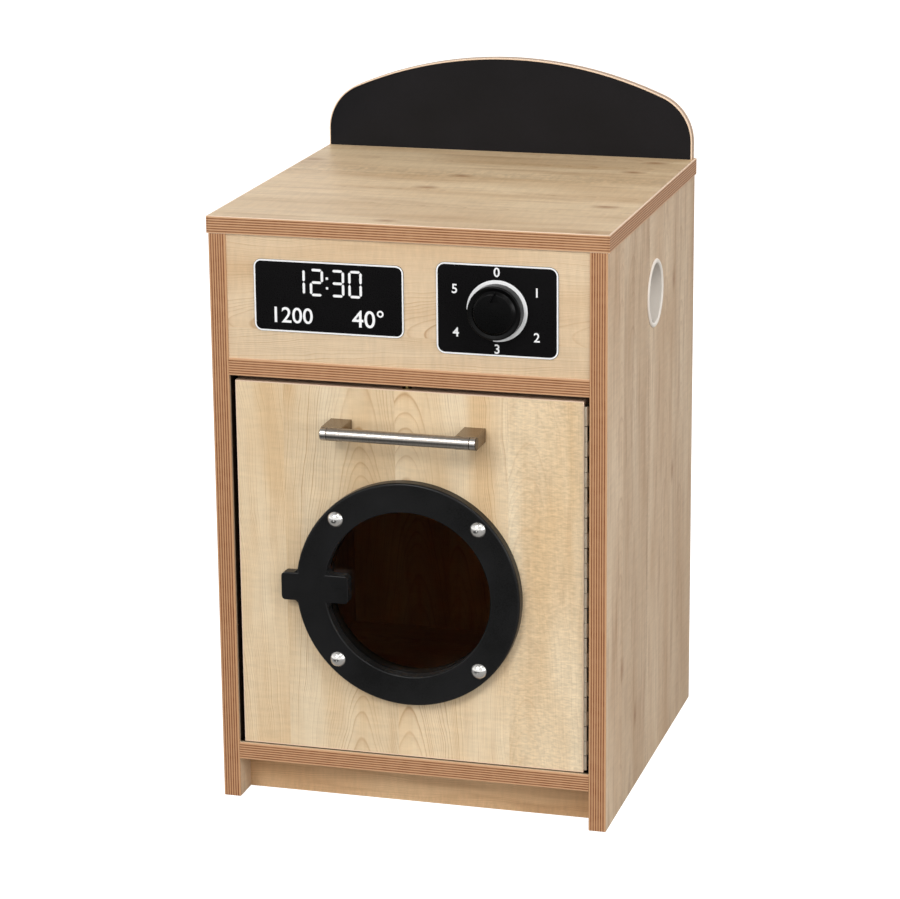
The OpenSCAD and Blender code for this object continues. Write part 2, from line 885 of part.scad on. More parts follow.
// Flat-sided legs, hollowed in front so that the bar lies half in them
module handle_legs() {
    color("#8f8271") both_sides() difference() {
        slab([-bar_l / 2, bar_y, bar_z - leg_h / 2], [-bar_l / 2 + leg_w, door_y0, bar_z + leg_h / 2]);
        along_bar(-bar_l / 2 - past) cylinder(r = bar_r + fix_clear, h = leg_w + 2 * past);
        handle_screw_pair(fix_clear);
    }
}

/* Piano hinge */

// The leaves start this far behind the axis, clear of each other's knuckles
leaf_y = barrel_r + 0.7;

// One knuckle's section with its link to a leaf whose outer face is offset from the axis
module knuckle_section(offset) {
    lap = 0.3;
    difference() {
        union() {
            circle(barrel_r);
            polygon([
                [pin_hole_r + lap / 2, -lap], [barrel_r - lap / 2, -lap],
                [offset, leaf_y], [offset, leaf_y + lap],
                [offset - leaf_t, leaf_y + lap], [offset - leaf_t, leaf_y]
            ]);
        }
        circle(pin_hole_r);
    }
}

// Leaf with its own knuckles: first is the index of its lowest one, every second one follows,
// and the topmost knuckle takes up what is left of the hinge's length
module hinge_leaf(offset, first, shift) {
    translate([offset - leaf_t, leaf_y, 0]) cube([leaf_t, leaf_d, hinge_l]);
    for (i = [first:2:knuckles - 1]) {
        z0 = i * knuckle_l + (i == 0 ? 0 : knuckle_gap / 2 + shift);
        z1 = i == knuckles - 1 ? hinge_l : (i + 1) * knuckle_l - knuckle_gap / 2 + shift;
        translate([0, 0, z0]) linear_extrude(z1 - z0) knuckle_section(offset);
    }
}

module at_hinge() {
    translate([hinge_x, hinge_back, hinge_z0]) children();
}

// Row of screws along a leaf whose inner face is offset from the axis, pointing towards +X
module leaf_screw_row(offset, grow) {
    pitch = hinge_l / leaf_screws;
    for (i = [0:leaf_screws - 1])
        translate([offset - leaf_t, leaf_y + leaf_d / 2, (i + 0.5) * pitch])
            rotate([0, 90, 0]) flush_screw(small_screw_r, small_head_r, leaf_t + screw_bite, grow);
}

module case_screw_row(grow = 0) {
    at_hinge() leaf_screw_row(hinge_from_side, grow);
}

module door_screw_row(grow = 0) {
    at_hinge() mirror([1, 0, 0]) leaf_screw_row(hinge_from_door, grow);
}

module hinge_case_leaf() {
    color(steel) difference() {
        at_hinge() hinge_leaf(hinge_from_side, 1, 0);
        case_screw_row(fix_clear);
    }
}

module hinge_door_leaf() {
    color(steel) difference() {
        at_hinge() mirror([1, 0, 0]) hinge_leaf(hinge_from_door, 0, -knuckle_drop / 2);
        door_screw_row(fix_clear);
    }
}

module hinge_pin() {
    color(steel) at_hinge() cylinder(r = pin_r, h = hinge_l);
}

module hinge_case_screws() {
    color(steel) case_screw_row();
}

module hinge_door_screws() {
    color(steel) door_screw_row();
}

/* Bullet catch between the top edge of the door and the middle shelf */

// The barrel lies in the middle of the door's thickness; its flange rests on the door's top edge
catch_flange_r = barrel_out_r + 1;
catch_flange_t = 0.6;
bullet_foot_r = barrel_out_r - barrel_wall - fix_clear;
bullet_foot_h = 3;
strike_w = 26;
strike_d = 10;
strike_screw_x = 9;
dish_r = bullet_r + 0.6;
dish_h = 2;

module at_catch(z) {
    translate([catch_x, (door_y0 + door_y1) / 2, z]) children();
}

module barrel_hole() {
    at_catch(door_z1 - barrel_l - fix_clear)
        cylinder(r = barrel_out_r + fix_clear, h = barrel_l + fix_clear + past);
}

module catch_barrel() {
    color("#c2a263") at_catch(door_z1) difference() {
        union() {
            translate([0, 0, -barrel_l]) cylinder(r = barrel_out_r, h = barrel_l);
            cylinder(r = catch_flange_r, h = catch_flange_t);
        }
        translate([0, 0, barrel_wall - barrel_l])
            cylinder(r = barrel_out_r - barrel_wall, h = barrel_l - 2 * barrel_wall);
        translate([0, 0, -2 * barrel_wall])
            cylinder(r = bullet_r + fix_clear, h = 2 * barrel_wall + catch_flange_t + past);
    }
}

// The bullet: a wide foot kept in by the barrel's mouth, and a shank with a ball end
module catch_bullet() {
    tip_z = door_gap_top - strike_t - catch_gap;
    foot_z = -barrel_wall - bullet_foot_h;
    color("#d2b478") at_catch(door_z1) rotate_extrude() polygon(concat(
        [[0, foot_z], [bullet_foot_r, foot_z], [bullet_foot_r, -barrel_wall], [bullet_r, -barrel_wall]],
        arc(0, tip_z - bullet_r, bullet_r, 0, 90)
    ));
}

module strike_screw_pair(grow = 0) {
    for (x = [-strike_screw_x, strike_screw_x]) at_catch(mid_shelf_z - strike_t) translate([x, 0, 0])
        flush_screw(small_screw_r, small_head_r, strike_t + screw_bite, grow);
}

// Strike plate with the round hole that the bullet springs into
module strike_plate() {
    color("#c2a263") difference() {
        at_catch(mid_shelf_z - strike_t)
            translate([-strike_w / 2, -strike_d / 2, 0]) cube([strike_w, strike_d, strike_t]);
        strike_screw_pair(fix_clear);
        at_catch(mid_shelf_z - strike_t - past) cylinder(r = dish_r, h = strike_t + 2 * past);
    }
}

module strike_screws() {
    color("#c2a263") strike_screw_pair();
}

/* Hand holds through the side panels */

// Flanged sleeve, drawn for the left side panel
module hand_hold() {
    lip = 1.2;
    translate([-half_w - flange_t, hold_back, hold_z]) rotate([0, 90, 0]) rotate_extrude() polygon([
        [hold_r + lip, 0], [flange_r - lip, 0], [flange_r, lip], [flange_r, flange_t],
        [hold_r + sleeve_wall, flange_t], [hold_r + sleeve_wall, flange_t + board_t],
        [hold_r, flange_t + board_t], [hold_r, lip]
    ]);
}

module left_hand_hold() {
    color("#d5d2cb") hand_hold();
}

module right_hand_hold() {
    color("#d5d2cb") mirror([1, 0, 0]) hand_hold();
}

placed() left_side();
placed() right_side();
placed() side_bands();
placed() base_shelf();
placed() middle_shelf();
placed() shelf_bands();
placed() plinth();
placed() back_panel();
placed() back_screws();
placed() fascia();
placed() worktop();
placed() worktop_front_band();
placed() worktop_side_bands();
placed() case_dowels();
placed() upstand();
placed() upstand_band();
placed() upstand_dowels();
placed() display_plate();
placed() dial_plate();
placed() dial();
placed() dial_spindle();
placed() dial_bush();
placed() dial_washer();
placed() dial_nut();
placed() door_panel();
placed() door_bands();
placed() window_ring();
placed() window_pane();
placed() window_lining();
placed() ring_screws();
placed() dome_caps();
placed() handle_bar();
placed() handle_end_caps();
placed() handle_legs();
placed() handle_screws();
placed() hinge_case_leaf();
placed() hinge_door_leaf();
placed() hinge_pin();
placed() hinge_case_screws();
placed() hinge_door_screws();
placed() catch_barrel();
placed() catch_bullet();
placed() strike_plate();
placed() strike_screws();
placed() left_hand_hold();
placed() right_hand_hold();
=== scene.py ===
# %% [markdown]
# # A toy washing machine, dressed for its photograph
# The real one is playroom furniture: a cupboard of maple-printed board with striped edging, a black
# hoop round the window, a bar handle and two printed plates with a dial. Its construction is fixed in
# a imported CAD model. This lesson loads that model, never moves it, and gives every surface the finish
# that the real material has. All lengths are metres, with +Z up.

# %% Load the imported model
import math

import bmesh
import bpy
from mathutils import Matrix, Vector


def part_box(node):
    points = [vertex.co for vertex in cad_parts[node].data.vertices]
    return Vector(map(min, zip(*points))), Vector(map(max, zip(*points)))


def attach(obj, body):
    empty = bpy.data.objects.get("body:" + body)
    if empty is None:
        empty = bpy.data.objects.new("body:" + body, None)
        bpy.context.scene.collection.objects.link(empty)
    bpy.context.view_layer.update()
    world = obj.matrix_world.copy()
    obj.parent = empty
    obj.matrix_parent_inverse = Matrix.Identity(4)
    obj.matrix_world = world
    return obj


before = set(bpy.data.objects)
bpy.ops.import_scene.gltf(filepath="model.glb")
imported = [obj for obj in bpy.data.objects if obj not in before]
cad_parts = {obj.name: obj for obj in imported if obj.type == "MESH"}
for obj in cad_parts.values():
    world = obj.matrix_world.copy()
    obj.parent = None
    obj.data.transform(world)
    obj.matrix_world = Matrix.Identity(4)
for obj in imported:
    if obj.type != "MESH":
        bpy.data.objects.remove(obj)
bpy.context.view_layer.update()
scene = bpy.context.scene
MM = 0.001
print("solids:", len(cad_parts))

# %% [markdown]
# The photograph was taken from a little above, from the front and right of the cupboard. The corners
# of its boards in the picture settle where the camera stood and how long its lens was, so the camera is
# set from that fit: a place, a line of sight and the picture's downward direction. The third axis
# follows from the other two, which keeps the camera square. The fit counts the focal length in the
# picture's pixels, and the lens gets the same share of its sensor's width.

# %% The camera of the photograph
CAMERA_PLACE = Vector((0.90904, -3.20968, 1.28406))
LINE_OF_SIGHT = Vector((-0.26471, 0.92512, -0.27217)).normalized()
PICTURE_DOWN = Vector((0.06577, -0.26426, -0.96221))
FOCAL_PIXELS = 3260.63
PICTURE_PIXELS = 900
SENSOR_MM = 36

picture_right = LINE_OF_SIGHT.cross(-PICTURE_DOWN).normalized()
picture_up = picture_right.cross(LINE_OF_SIGHT)
lens = bpy.data.cameras.new("photograph")
lens.sensor_width = SENSOR_MM
lens.lens = SENSOR_MM * (FOCAL_PIXELS / PICTURE_PIXELS)
camera = bpy.data.objects.new("photograph", lens)
axes = Matrix((picture_right, picture_up, -LINE_OF_SIGHT)).transposed()
camera.matrix_world = Matrix.Translation(CAMERA_PLACE) @ axes.to_4x4()
scene.collection.objects.link(camera)
scene.camera = camera
print(f"lens {lens.lens:.1f} mm on a {SENSOR_MM} mm sensor")

# %% [markdown]
# Every finish below is a small tree of shader nodes. One helper adds a node with its settings and
# links, one turns a colour as it reads on a screen into the linear light that the shader counts in,
# one starts a material from its real name, its roughness and its gloss, and one feeds its shader. An
# input is named by its label, or by its number where labels repeat: a Map Range node reads a range
# from input 1 to 2 and gives one from 3 to 4, and the two colours of a Mix node are 6 and 7.

# %% Helpers for finishes
def linear(code):
    """Linear RGBA of an sRGB colour written as #rrggbb."""
    parts = [int(code[i : i + 2], 16) / 255 for i in (1, 3, 5)]
    curve = [c / 12.92 if c <= 0.04045 else ((c + 0.055) / 1.055) ** 2.4 for c in parts]
    return (*curve, 1.0)


def add(tree, kind, inputs=None, stops=None, **settings):
    """Adds a node; an input is a value, or a (node, output) pair to link. Stops fill a ramp with
    greys, each a place and a value, of which the first two are the ramp's own ends."""
    node = tree.nodes.new("ShaderNode" + kind)
    for key, value in settings.items():
        setattr(node, key, value)
    for key, value in (inputs or {}).items():
        if isinstance(value, tuple) and isinstance(value[0], bpy.types.Node):
            tree.links.new(value[0].outputs[value[1]], node.inputs[key])
        else:
            node.inputs[key].default_value = value
    for i, (place, value) in enumerate(stops or ()):
        ramp = node.color_ramp.elements
        stop = ramp[-i] if i < 2 else ramp.new(place)
        stop.position, stop.color = place, (value, value, value, 1.0)
    return node


def start_finish(name, **shader_values):
    """A new material with a Principled shader, and its tree."""
    finish = bpy.data.materials.new(name)
    finish.use_nodes = True
    tree = finish.node_tree
    shader = tree.nodes["Principled BSDF"]
    for key, value in shader_values.items():
        shader.inputs[key.replace("_", " ")].default_value = value
    print("finish:", name)
    return finish, tree, shader


def feed(tree, shader, **links):
    """Links (node, output) pairs to the shader's sockets, with _ for a space in a name."""
    for key, (node, output) in links.items():
        tree.links.new(node.outputs[output], shader.inputs[key.replace("_", " ")])


print("a mid grey on screen is", round(linear("#808080")[0], 3), "in linear light")

# %% [markdown]
# Most of what follows is printed maple: chipboard under melamine paper that shows flat-sawn maple in
# staves, lacquered satin. Fibres, streaks, ripples and slow changes of tone differ only in how long
# and how wide they are, so all are noises. A noise has no real size, so a helper squeezes it until its
# grains measure what the real ones do, across the grain and along it. The fibres are drawn wider than
# real ones, which would be lost between the pixels of the picture.

# %% Noises with a real size
FIBRE = (0.8 * MM, 45 * MM)
STREAK = (8 * MM, 95 * MM)
SHIMMER = (26 * MM, 4.5 * MM)
SLOW_TONE = (45 * MM, 260 * MM)
SLOW_FADE = (60 * MM, 200 * MM)
LOW, HIGH = 0.3, 0.7  # nearly all of a noise lies between these


def stretched(tree, place, size, **inputs):
    """A noise whose grains measure size[0] across the grain and size[1] along it."""
    scale = (1 / size[0], 1 / size[0], 1 / size[1])
    spot = add(tree, "Mapping", {"Vector": place, "Scale": scale})
    return add(tree, "TexNoise", {"Vector": (spot, 0), "Scale": 1.0, **inputs})


print("a fibre is", round(FIBRE[1] / FIBRE[0]), "times as long as it is wide")

# %% [markdown]
# The print shows narrow planks side by side, and no two come from the same spot of a tree. So the width
# of a board is counted in staves, and each count draws three random numbers. They move all noises to
# another place, which makes the joints between the staves show without a line being drawn.

# %% Staves
STAVE_WIDTH = 118 * MM
STAVE_SPREAD = (0.7, 0.7, 3.0)


def staves(tree, turned, across):
    """How far across its stave a point is, the stave's random numbers, and its place in the noises."""
    count = add(tree, "Math", {0: (across, "X"), 1: STAVE_WIDTH}, operation="DIVIDE")
    number = add(tree, "Math", {0: (count, 0)}, operation="FLOOR")
    in_stave = add(tree, "Math", {0: (count, 0)}, operation="FRACT")
    chance = add(tree, "TexWhiteNoise", {"W": (number, 0)}, noise_dimensions="1D")
    spread = add(tree, "VectorMath", {0: (chance, "Color"), 1: STAVE_SPREAD}, operation="MULTIPLY")
    cut = add(tree, "VectorMath", {0: (turned, 0), 1: (spread, 0)}, operation="ADD")
    return in_stave, chance, cut


door_low, door_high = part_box("door_panel")
print(f"staves across the door: {(door_high.x - door_low.x) / STAVE_WIDTH:.1f}")

# %% [markdown]
# In real timber the growth rings are cylinders round the heart of the log, cut by a face that leans a
# little against them, and that draws the tall nested arches. Plain waves never close to arches, so the
# print is made as nature makes it: each stave has its own heart behind the face, and the distance from
# it, with a slow sway, is counted in rings. A noise of that distance makes some years wide and some
# narrow, and each year ends in a line of late wood of its own strength.

# %% Growth rings
RING_SPACING = 1.45 * MM
RING_DRIFT, DRIFT_RINGS = 9 * MM, 4.0
HEART_LEAN = math.tan(math.radians(3.6))
HEART_DEPTH = 50 * MM
HEART_ASIDE = (-0.9 * STAVE_WIDTH, -0.1 * STAVE_WIDTH)
SWAY, SWAY_GRAIN = 24 * MM, (70 * MM, 140 * MM)
FAINTEST_YEAR = 0.35
LATE_WOOD = ((0.0, 0.0), (1.0, 0.0), (0.6, 0.05), (0.78, 0.35), (0.9, 1.0))


def growth_rings(tree, across, in_stave, chance, cut):
    """How strongly a year's line shows at a point, from 0 to 1."""
    chances = add(tree, "SeparateXYZ", {"Vector": (chance, "Color")})
    heart_aside = add(tree, "MapRange", {"Value": (chances, "X"), 3: HEART_ASIDE[0], 4: HEART_ASIDE[1]})
    from_heart = {0: (in_stave, 0), 1: STAVE_WIDTH, 2: (heart_aside, 0)}
    sideways = add(tree, "Math", from_heart, operation="MULTIPLY_ADD")
    sway = stretched(tree, (cut, 0), SWAY_GRAIN, Detail=3.5, Roughness=0.5)
    swayed = add(tree, "Math", {0: (sway, "Fac"), 1: SWAY, 2: (sideways, 0)}, operation="MULTIPLY_ADD")
    depth = add(tree, "Math", {0: (chances, "Y"), 1: HEART_DEPTH}, operation="MULTIPLY")
    lean = add(tree, "Math", {0: (across, "Z"), 1: HEART_LEAN, 2: (depth, 0)}, operation="MULTIPLY_ADD")
    heart = add(tree, "CombineXYZ", {"X": (swayed, 0), "Y": (lean, 0)})
    radius = add(tree, "VectorMath", {0: (heart, 0)}, operation="LENGTH")
    # counting the rings, with a drift that makes years wide or narrow
    drift_place = add(tree, "Math", {0: (radius, "Value"), 1: RING_DRIFT}, operation="DIVIDE")
    slow = {"W": (drift_place, 0), "Scale": 1.0, "Detail": 1.0}
    drift = add(tree, "TexNoise", slow, noise_dimensions="1D")
    even = add(tree, "Math", {0: (radius, "Value"), 1: RING_SPACING}, operation="DIVIDE")
    ring = add(tree, "Math", {0: (drift, "Fac"), 1: DRIFT_RINGS, 2: (even, 0)}, operation="MULTIPLY_ADD")
    # the whole part of the count is the year, and the rest is the season in it
    year = add(tree, "Math", {0: (ring, 0)}, operation="FLOOR")
    season = add(tree, "Math", {0: (ring, 0)}, operation="FRACT")
    late_wood = add(tree, "ValToRGB", {"Fac": (season, 0)}, stops=LATE_WOOD)
    harsh = add(tree, "TexWhiteNoise", {"W": (year, 0)}, noise_dimensions="1D")
    strength = add(tree, "MapRange", {"Value": (harsh, "Value"), 3: FAINTEST_YEAR, 4: 1.0})
    return add(tree, "Math", {0: (late_wood, 0), 1: (strength, 0)}, operation="MULTIPLY")


print(f"rings in one stave: about {STAVE_WIDTH / RING_SPACING:.0f}")

# %% [markdown]
# Maple is known for its curly figure: where the fibres wave, ripples run across the grain, and the
# growth rings nearly vanish among them. The door shows it in the stave next to its hinge. A noise that
# is wider than it is long draws the ripples, and a zone says where they are strong. A trace of them
# is left everywhere else, as on real maple.

# %% Curly figure
CURL = (6.5 * MM, 2.1 * MM)
CURL_LOW, CURL_HIGH = 0.34, 0.66
CURL_SHADE, CURL_GLEAM = -0.15, 0.06
IN_ZONE, ELSEWHERE = 0.9, 0.15
ZONE_INSIDE, ZONE_OUTSIDE = 8 * MM, 14 * MM


def curly_figure(tree, across, cut, middle, half, curl):
    """Strength of the figure, and what it multiplies the brightness by."""
    aside = add(tree, "Math", {0: (across, "X"), 1: middle}, operation="SUBTRACT")
    apart = add(tree, "Math", {0: (aside, 0)}, operation="ABSOLUTE")
    edge = {1: half - ZONE_INSIDE, 2: half + ZONE_OUTSIDE, 3: IN_ZONE, 4: ELSEWHERE}
    zone = add(tree, "MapRange", {"Value": (apart, 0), **edge})
    ripples = stretched(tree, (cut, 0), curl, Detail=1.5, Distortion=0.6)
    swing = {1: CURL_LOW, 2: CURL_HIGH, 3: CURL_SHADE, 4: CURL_GLEAM}
    depth = add(tree, "MapRange", {"Value": (ripples, "Fac"), **swing})
    value = add(tree, "Math", {0: (depth, 0), 1: (zone, 0), 2: 1.0}, operation="MULTIPLY_ADD")
    return zone, value


print("a ripple is", round(CURL[0] / CURL[1]), "times as wide as it is long")

# %% [markdown]
# A rare small knot breaks the grain. Cells much longer than wide are laid over the board, and a cell
# has a knot at its point only when its random number passes a bar, so a board's share of knots can be
# set. The streaks' noise is added to the distance from the knot, which leaves its outline ragged.

# %% Small knots
KNOT = 9 * MM
KNOT_CELL = (60 * MM, 110 * MM)
KNOT_HEART, KNOT_DARK = 0.13, 0.75
RAGGED = 0.25


def small_knots(tree, across, streak_noise, share):
    """How dark a knot makes a point; share is how many of the cells have a knot."""
    flat = add(tree, "CombineXYZ", {"X": (across, "X"), "Y": (across, "Z")})
    cell_scale = (1 / KNOT_CELL[0], 1 / KNOT_CELL[1], 1)
    knot_place = add(tree, "Mapping", {"Vector": (flat, 0), "Scale": cell_scale})
    cells = add(tree, "TexVoronoi", {"Vector": (knot_place, 0), "Scale": 1.0}, voronoi_dimensions="2D")
    pick = add(tree, "SeparateXYZ", {"Vector": (cells, "Color")})
    there = add(tree, "Math", {0: (pick, "X"), 1: 1 - share}, operation="GREATER_THAN")
    reach = {0: (streak_noise, "Fac"), 1: RAGGED, 2: (cells, "Distance")}
    ragged = add(tree, "Math", reach, operation="MULTIPLY_ADD")
    rim = KNOT_HEART + KNOT / KNOT_CELL[0]
    core = add(tree, "MapRange", {"Value": (ragged, 0), 1: KNOT_HEART, 2: rim, 3: KNOT_DARK, 4: 0.0})
    return add(tree, "Math", {0: (core, 0), 1: (there, 0)}, operation="MULTIPLY")


print(f"a knot's cell is {KNOT_CELL[0] / MM:.0f} by {KNOT_CELL[1] / MM:.0f} mm")

# %% [markdown]
# The photograph shows a black gap round the door, blacker than the shadow between two pale boards.
# What makes it so can't be seen. A strip of painted shade, a dark colour just inside the opening, is the
# simplest thing that looks like it, and past the strip the inside stays pale for when the door stands open.

# %% Painted shade inside the door opening
GAP_SHADE_TONE = "#1C110A"
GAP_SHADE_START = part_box("base_shelf")[0].y
GAP_SHADE_END = GAP_SHADE_START + 22 * MM
START_BLUR, END_BLUR = 4 * MM, 3 * MM
OPENING_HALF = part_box("right_side")[0].x + 0.6 * MM
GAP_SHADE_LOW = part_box("base_shelf")[1].z - 6.5 * MM
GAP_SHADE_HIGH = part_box("middle_shelf")[0].z + 2 * MM


def mouth_stain(tree, place, strength):
    """How strongly a point gets painted shade: only near the mouth of the door opening."""
    spot = add(tree, "SeparateXYZ", {"Vector": (place, "Object")})
    from_middle = add(tree, "Math", {0: (spot, "X")}, operation="ABSOLUTE")
    facing = add(tree, "Math", {0: (from_middle, 0), 1: OPENING_HALF}, operation="LESS_THAN")
    height = {0: (spot, "Z"), 1: (GAP_SHADE_LOW + GAP_SHADE_HIGH) / 2, 2: (GAP_SHADE_HIGH - GAP_SHADE_LOW) / 2}
    level = add(tree, "Math", height, operation="COMPARE")
    fade_out = {1: GAP_SHADE_END, 2: GAP_SHADE_END + END_BLUR, 3: strength, 4: 0.0}
    mouth = add(tree, "MapRange", {"Value": (spot, "Y"), **fade_out})
    deeper = add(tree, "MapRange", {"Value": (spot, "Y"), 1: GAP_SHADE_START, 2: GAP_SHADE_START + START_BLUR})
    in_opening = add(tree, "Math", {0: (facing, 0), 1: (level, 0)}, operation="MULTIPLY")
    in_depth = add(tree, "Math", {0: (mouth, 0), 1: (deeper, 0)}, operation="MULTIPLY")
    return add(tree, "Math", {0: (in_opening, 0), 1: (in_depth, 0)}, operation="MULTIPLY")


print(f"stained strip: {(GAP_SHADE_END - GAP_SHADE_START) / MM:.0f} mm deep")

# %% [markdown]
# Now the parts come together as a printer lays inks: a pale ground with a slow change of tone, then
# rings, streaks and knots in the dark one, and over all of it the small changes of brightness that
# fibres, ripples, staves and a faint shimmer bring. The satin paper has an even, very shallow grit.
# A board's grain may run any way, so the place is turned first, and each board is cut elsewhere.

# %% Maple-printed board
MAPLE_TONES = ("#EDD9B8", "#DDBD91", "#A8753F")
QUARTER = math.pi / 2
GRAIN_TURN = {
    "x": (0, QUARTER, 0),
    "z": (0, 0, 0),
    "side": (0, 0, QUARTER),
    "flat": (0, -QUARTER, -QUARTER),
}
TONE_LOW, TONE_HIGH, TONE_MOST = 0.32, 0.68, 0.9
STREAK_LOW, STREAK_HIGH = 0.5, 0.72
FADE_LOW, FADE_HIGH, FADED = 0.35, 0.6, 0.35
RINGS_IN_CURLS = 0.3
FIBRE_VALUES = (0.94, 1.03)
STAVE_VALUES = (0.93, 1.02)
SHIMMER_VALUES = (0.955, 1.035)
SATIN = (0.38, 0.48)
GRIT = 1.5 * MM


def maple_board(
    name, grain, shift, tones=MAPLE_TONES, rings=0.6, curly=(0.0, 0.0), curl=CURL, streaks=0.2,
    knots=0.5, gap_shade=0.0,
):
    """Printed maple. Its grain runs along x or z, along z on a side, or along x on a flat board. Rings and
    streaks are how dark these get, the last argument is how dark the painted shade just inside the door
    opening gets, and knots is the share of cells with a knot. Curly is the middle of a stave with a curly
    figure and half its width."""
    finish, tree, shader = start_finish(name, Roughness=0.42, Specular_IOR_Level=0.3)
    pale, middle, dark = (linear(t) for t in tones)
    place = add(tree, "TexCoord")
    turn = {"Vector": (place, "Object"), "Location": shift, "Rotation": GRAIN_TURN[grain]}
    turned = add(tree, "Mapping", turn)
    across = add(tree, "SeparateXYZ", {"Vector": (turned, 0)})
    in_stave, chance, cut = staves(tree, turned, across)
    # the rings fade in places, and among the curls
    year_line = growth_rings(tree, across, in_stave, chance, cut)
    zone, curl_value = curly_figure(tree, across, cut, shift[0] + curly[0], curly[1], curl)
    patches = stretched(tree, (cut, 0), SLOW_FADE, Detail=2.0)
    fade = {1: FADE_LOW, 2: FADE_HIGH, 3: FADED * rings, 4: rings}
    fading = add(tree, "MapRange", {"Value": (patches, "Fac"), **fade})
    faded_line = add(tree, "Math", {0: (year_line, 0), 1: (fading, 0)}, operation="MULTIPLY")
    calm = {1: ELSEWHERE, 2: IN_ZONE, 3: 1.0, 4: RINGS_IN_CURLS}
    plain = add(tree, "MapRange", {"Value": (zone, 0), **calm})
    ring_shade = add(tree, "Math", {0: (faded_line, 0), 1: (plain, 0)}, operation="MULTIPLY")
    # streaks and knots
    streak_noise = stretched(tree, (cut, 0), STREAK, Detail=2.5, Roughness=0.55, Distortion=0.3)
    rise = {1: STREAK_LOW, 2: STREAK_HIGH, 3: 0.0, 4: streaks}
    streak_shade = add(tree, "MapRange", {"Value": (streak_noise, "Fac"), **rise})
    knot_shade = small_knots(tree, across, streak_noise, knots)
    # the slow tone is the ground, and each shade pulls it towards the dark colour
    slow = stretched(tree, (cut, 0), SLOW_TONE, Detail=2.0, Distortion=0.3)
    tone = add(tree, "MapRange", {"Value": (slow, "Fac"), 1: TONE_LOW, 2: TONE_HIGH, 3: 0.0, 4: TONE_MOST})
    shaded = add(tree, "Mix", {"Factor": (tone, 0), 6: pale, 7: middle}, data_type="RGBA")
    for shade in (ring_shade, streak_shade, knot_shade):
        shaded = add(tree, "Mix", {"Factor": (shade, 0), 6: (shaded, 2), 7: dark}, data_type="RGBA")
    # the small changes of brightness, one after another
    fibres = stretched(tree, (cut, 0), FIBRE, Detail=3.0, Roughness=0.6)
    shimmer = stretched(tree, (cut, 0), SHIMMER, Detail=2.0)
    light_and_dark = {1: LOW, 2: HIGH, 3: FIBRE_VALUES[0], 4: FIBRE_VALUES[1]}
    value = add(tree, "MapRange", {"Value": (fibres, "Fac"), **light_and_dark})
    stave_value = add(tree, "MapRange", {"Value": (chance, "Value"), 3: STAVE_VALUES[0], 4: STAVE_VALUES[1]})
    gleam = {1: LOW, 2: HIGH, 3: SHIMMER_VALUES[0], 4: SHIMMER_VALUES[1]}
    shimmer_value = add(tree, "MapRange", {"Value": (shimmer, "Fac"), **gleam})
    for change in (curl_value, stave_value, shimmer_value):
        value = add(tree, "Math", {0: (value, 0), 1: (change, 0)}, operation="MULTIPLY")
    colour = add(tree, "VectorMath", {0: (shaded, 2), "Scale": (value, 0)}, operation="SCALE")
    # painted shade: a dark strip just inside the door opening, where the gap lies in shade
    gap_darkness = mouth_stain(tree, place, gap_shade)
    gap_shaded_colour = {"Factor": (gap_darkness, 0), 6: (colour, 0), 7: linear(GAP_SHADE_TONE)}
    final = add(tree, "Mix", gap_shaded_colour, data_type="RGBA")
    # the paper's grit, and a gloss that follows the fibres
    grit = add(tree, "TexNoise", {"Vector": (place, "Object"), "Scale": 1 / GRIT, "Detail": 2.0})
    paper = add(tree, "Bump", {"Height": (grit, "Fac"), "Strength": 0.05, "Distance": 0.2 * MM})
    sheen = add(tree, "MapRange", {"Value": (fibres, "Fac"), 1: LOW, 2: HIGH, 3: SATIN[0], 4: SATIN[1]})
    feed(tree, shader, Base_Color=(final, 2), Roughness=(sheen, 0), Normal=(paper, 0))
    return finish


# %% [markdown]
# The boards of the real one are printed alike, yet the picture shows each in its own tone, as some lie in
# shadow and some face the light, and each roll of paper differs. So the tones below are partly the paper's
# own and partly painted light and shade. The door has a pale print with clear rings, the sides are streaky,
# and the worktop has broad weak ripples. The joints between the staves of the door are measured from the
# picture: one lies 104 mm right of its middle.

# %% The boards of the cupboard
FASCIA_TONES = ("#E0C8A7", "#D2B28B", "#A8784B")
SIDE_TONES = ("#DFC7A9", "#C5A685", "#A07758")
TOP_TONES = ("#E8CEA8", "#CFAF86", "#99693F")
PLINTH_TONES = ("#E5C196", "#D0A375", "#9C6B40")
DOOR_JOINT = 104 * MM
DOOR_CUT = (3 * STAVE_WIDTH - DOOR_JOINT, 0.0, 0.2)
DOOR_CURLY = (142 * MM, 38 * MM)
TOP_CURLY = (78 * MM, 16 * MM)
TOP_CURL = (12 * MM, 7 * MM)

door_maple = maple_board(
    "maple_print_door", "z", DOOR_CUT, rings=0.9, curly=DOOR_CURLY, streaks=0.12, knots=0.0
)
# the sides carry the painted shade just inside the door opening
side_maple = maple_board(
    "maple_print_sides", "side", (0.12, 0.0, 0.6), SIDE_TONES, rings=0.35, streaks=0.42, knots=0.12,
    gap_shade=1.0,
)
top_maple = maple_board(
    "maple_print_worktop", "flat", (0.05, 0.4, 0.1), TOP_TONES, rings=0.45, curly=TOP_CURLY, curl=TOP_CURL,
    streaks=0.28, knots=0.3,
)
fascia_maple = maple_board(
    "maple_print_fascia", "x", (0.2, 0.02, 0.45), FASCIA_TONES, rings=0.75, streaks=0.1, knots=0.1
)
# the shelves carry the painted shade just inside the door opening
inner_maple = maple_board("maple_print_inside", "flat", (0.7, 0.1, 0.9), knots=0.1, gap_shade=1.0)
back_maple = maple_board("maple_print_back", "z", (0.31, 0.2, 0.4), streaks=0.25, knots=0.06)
plinth_maple = maple_board(
    "maple_print_plinth", "x", (0.9, 0.3, 0.2), PLINTH_TONES, rings=1.0, streaks=0.3, knots=0.1
)
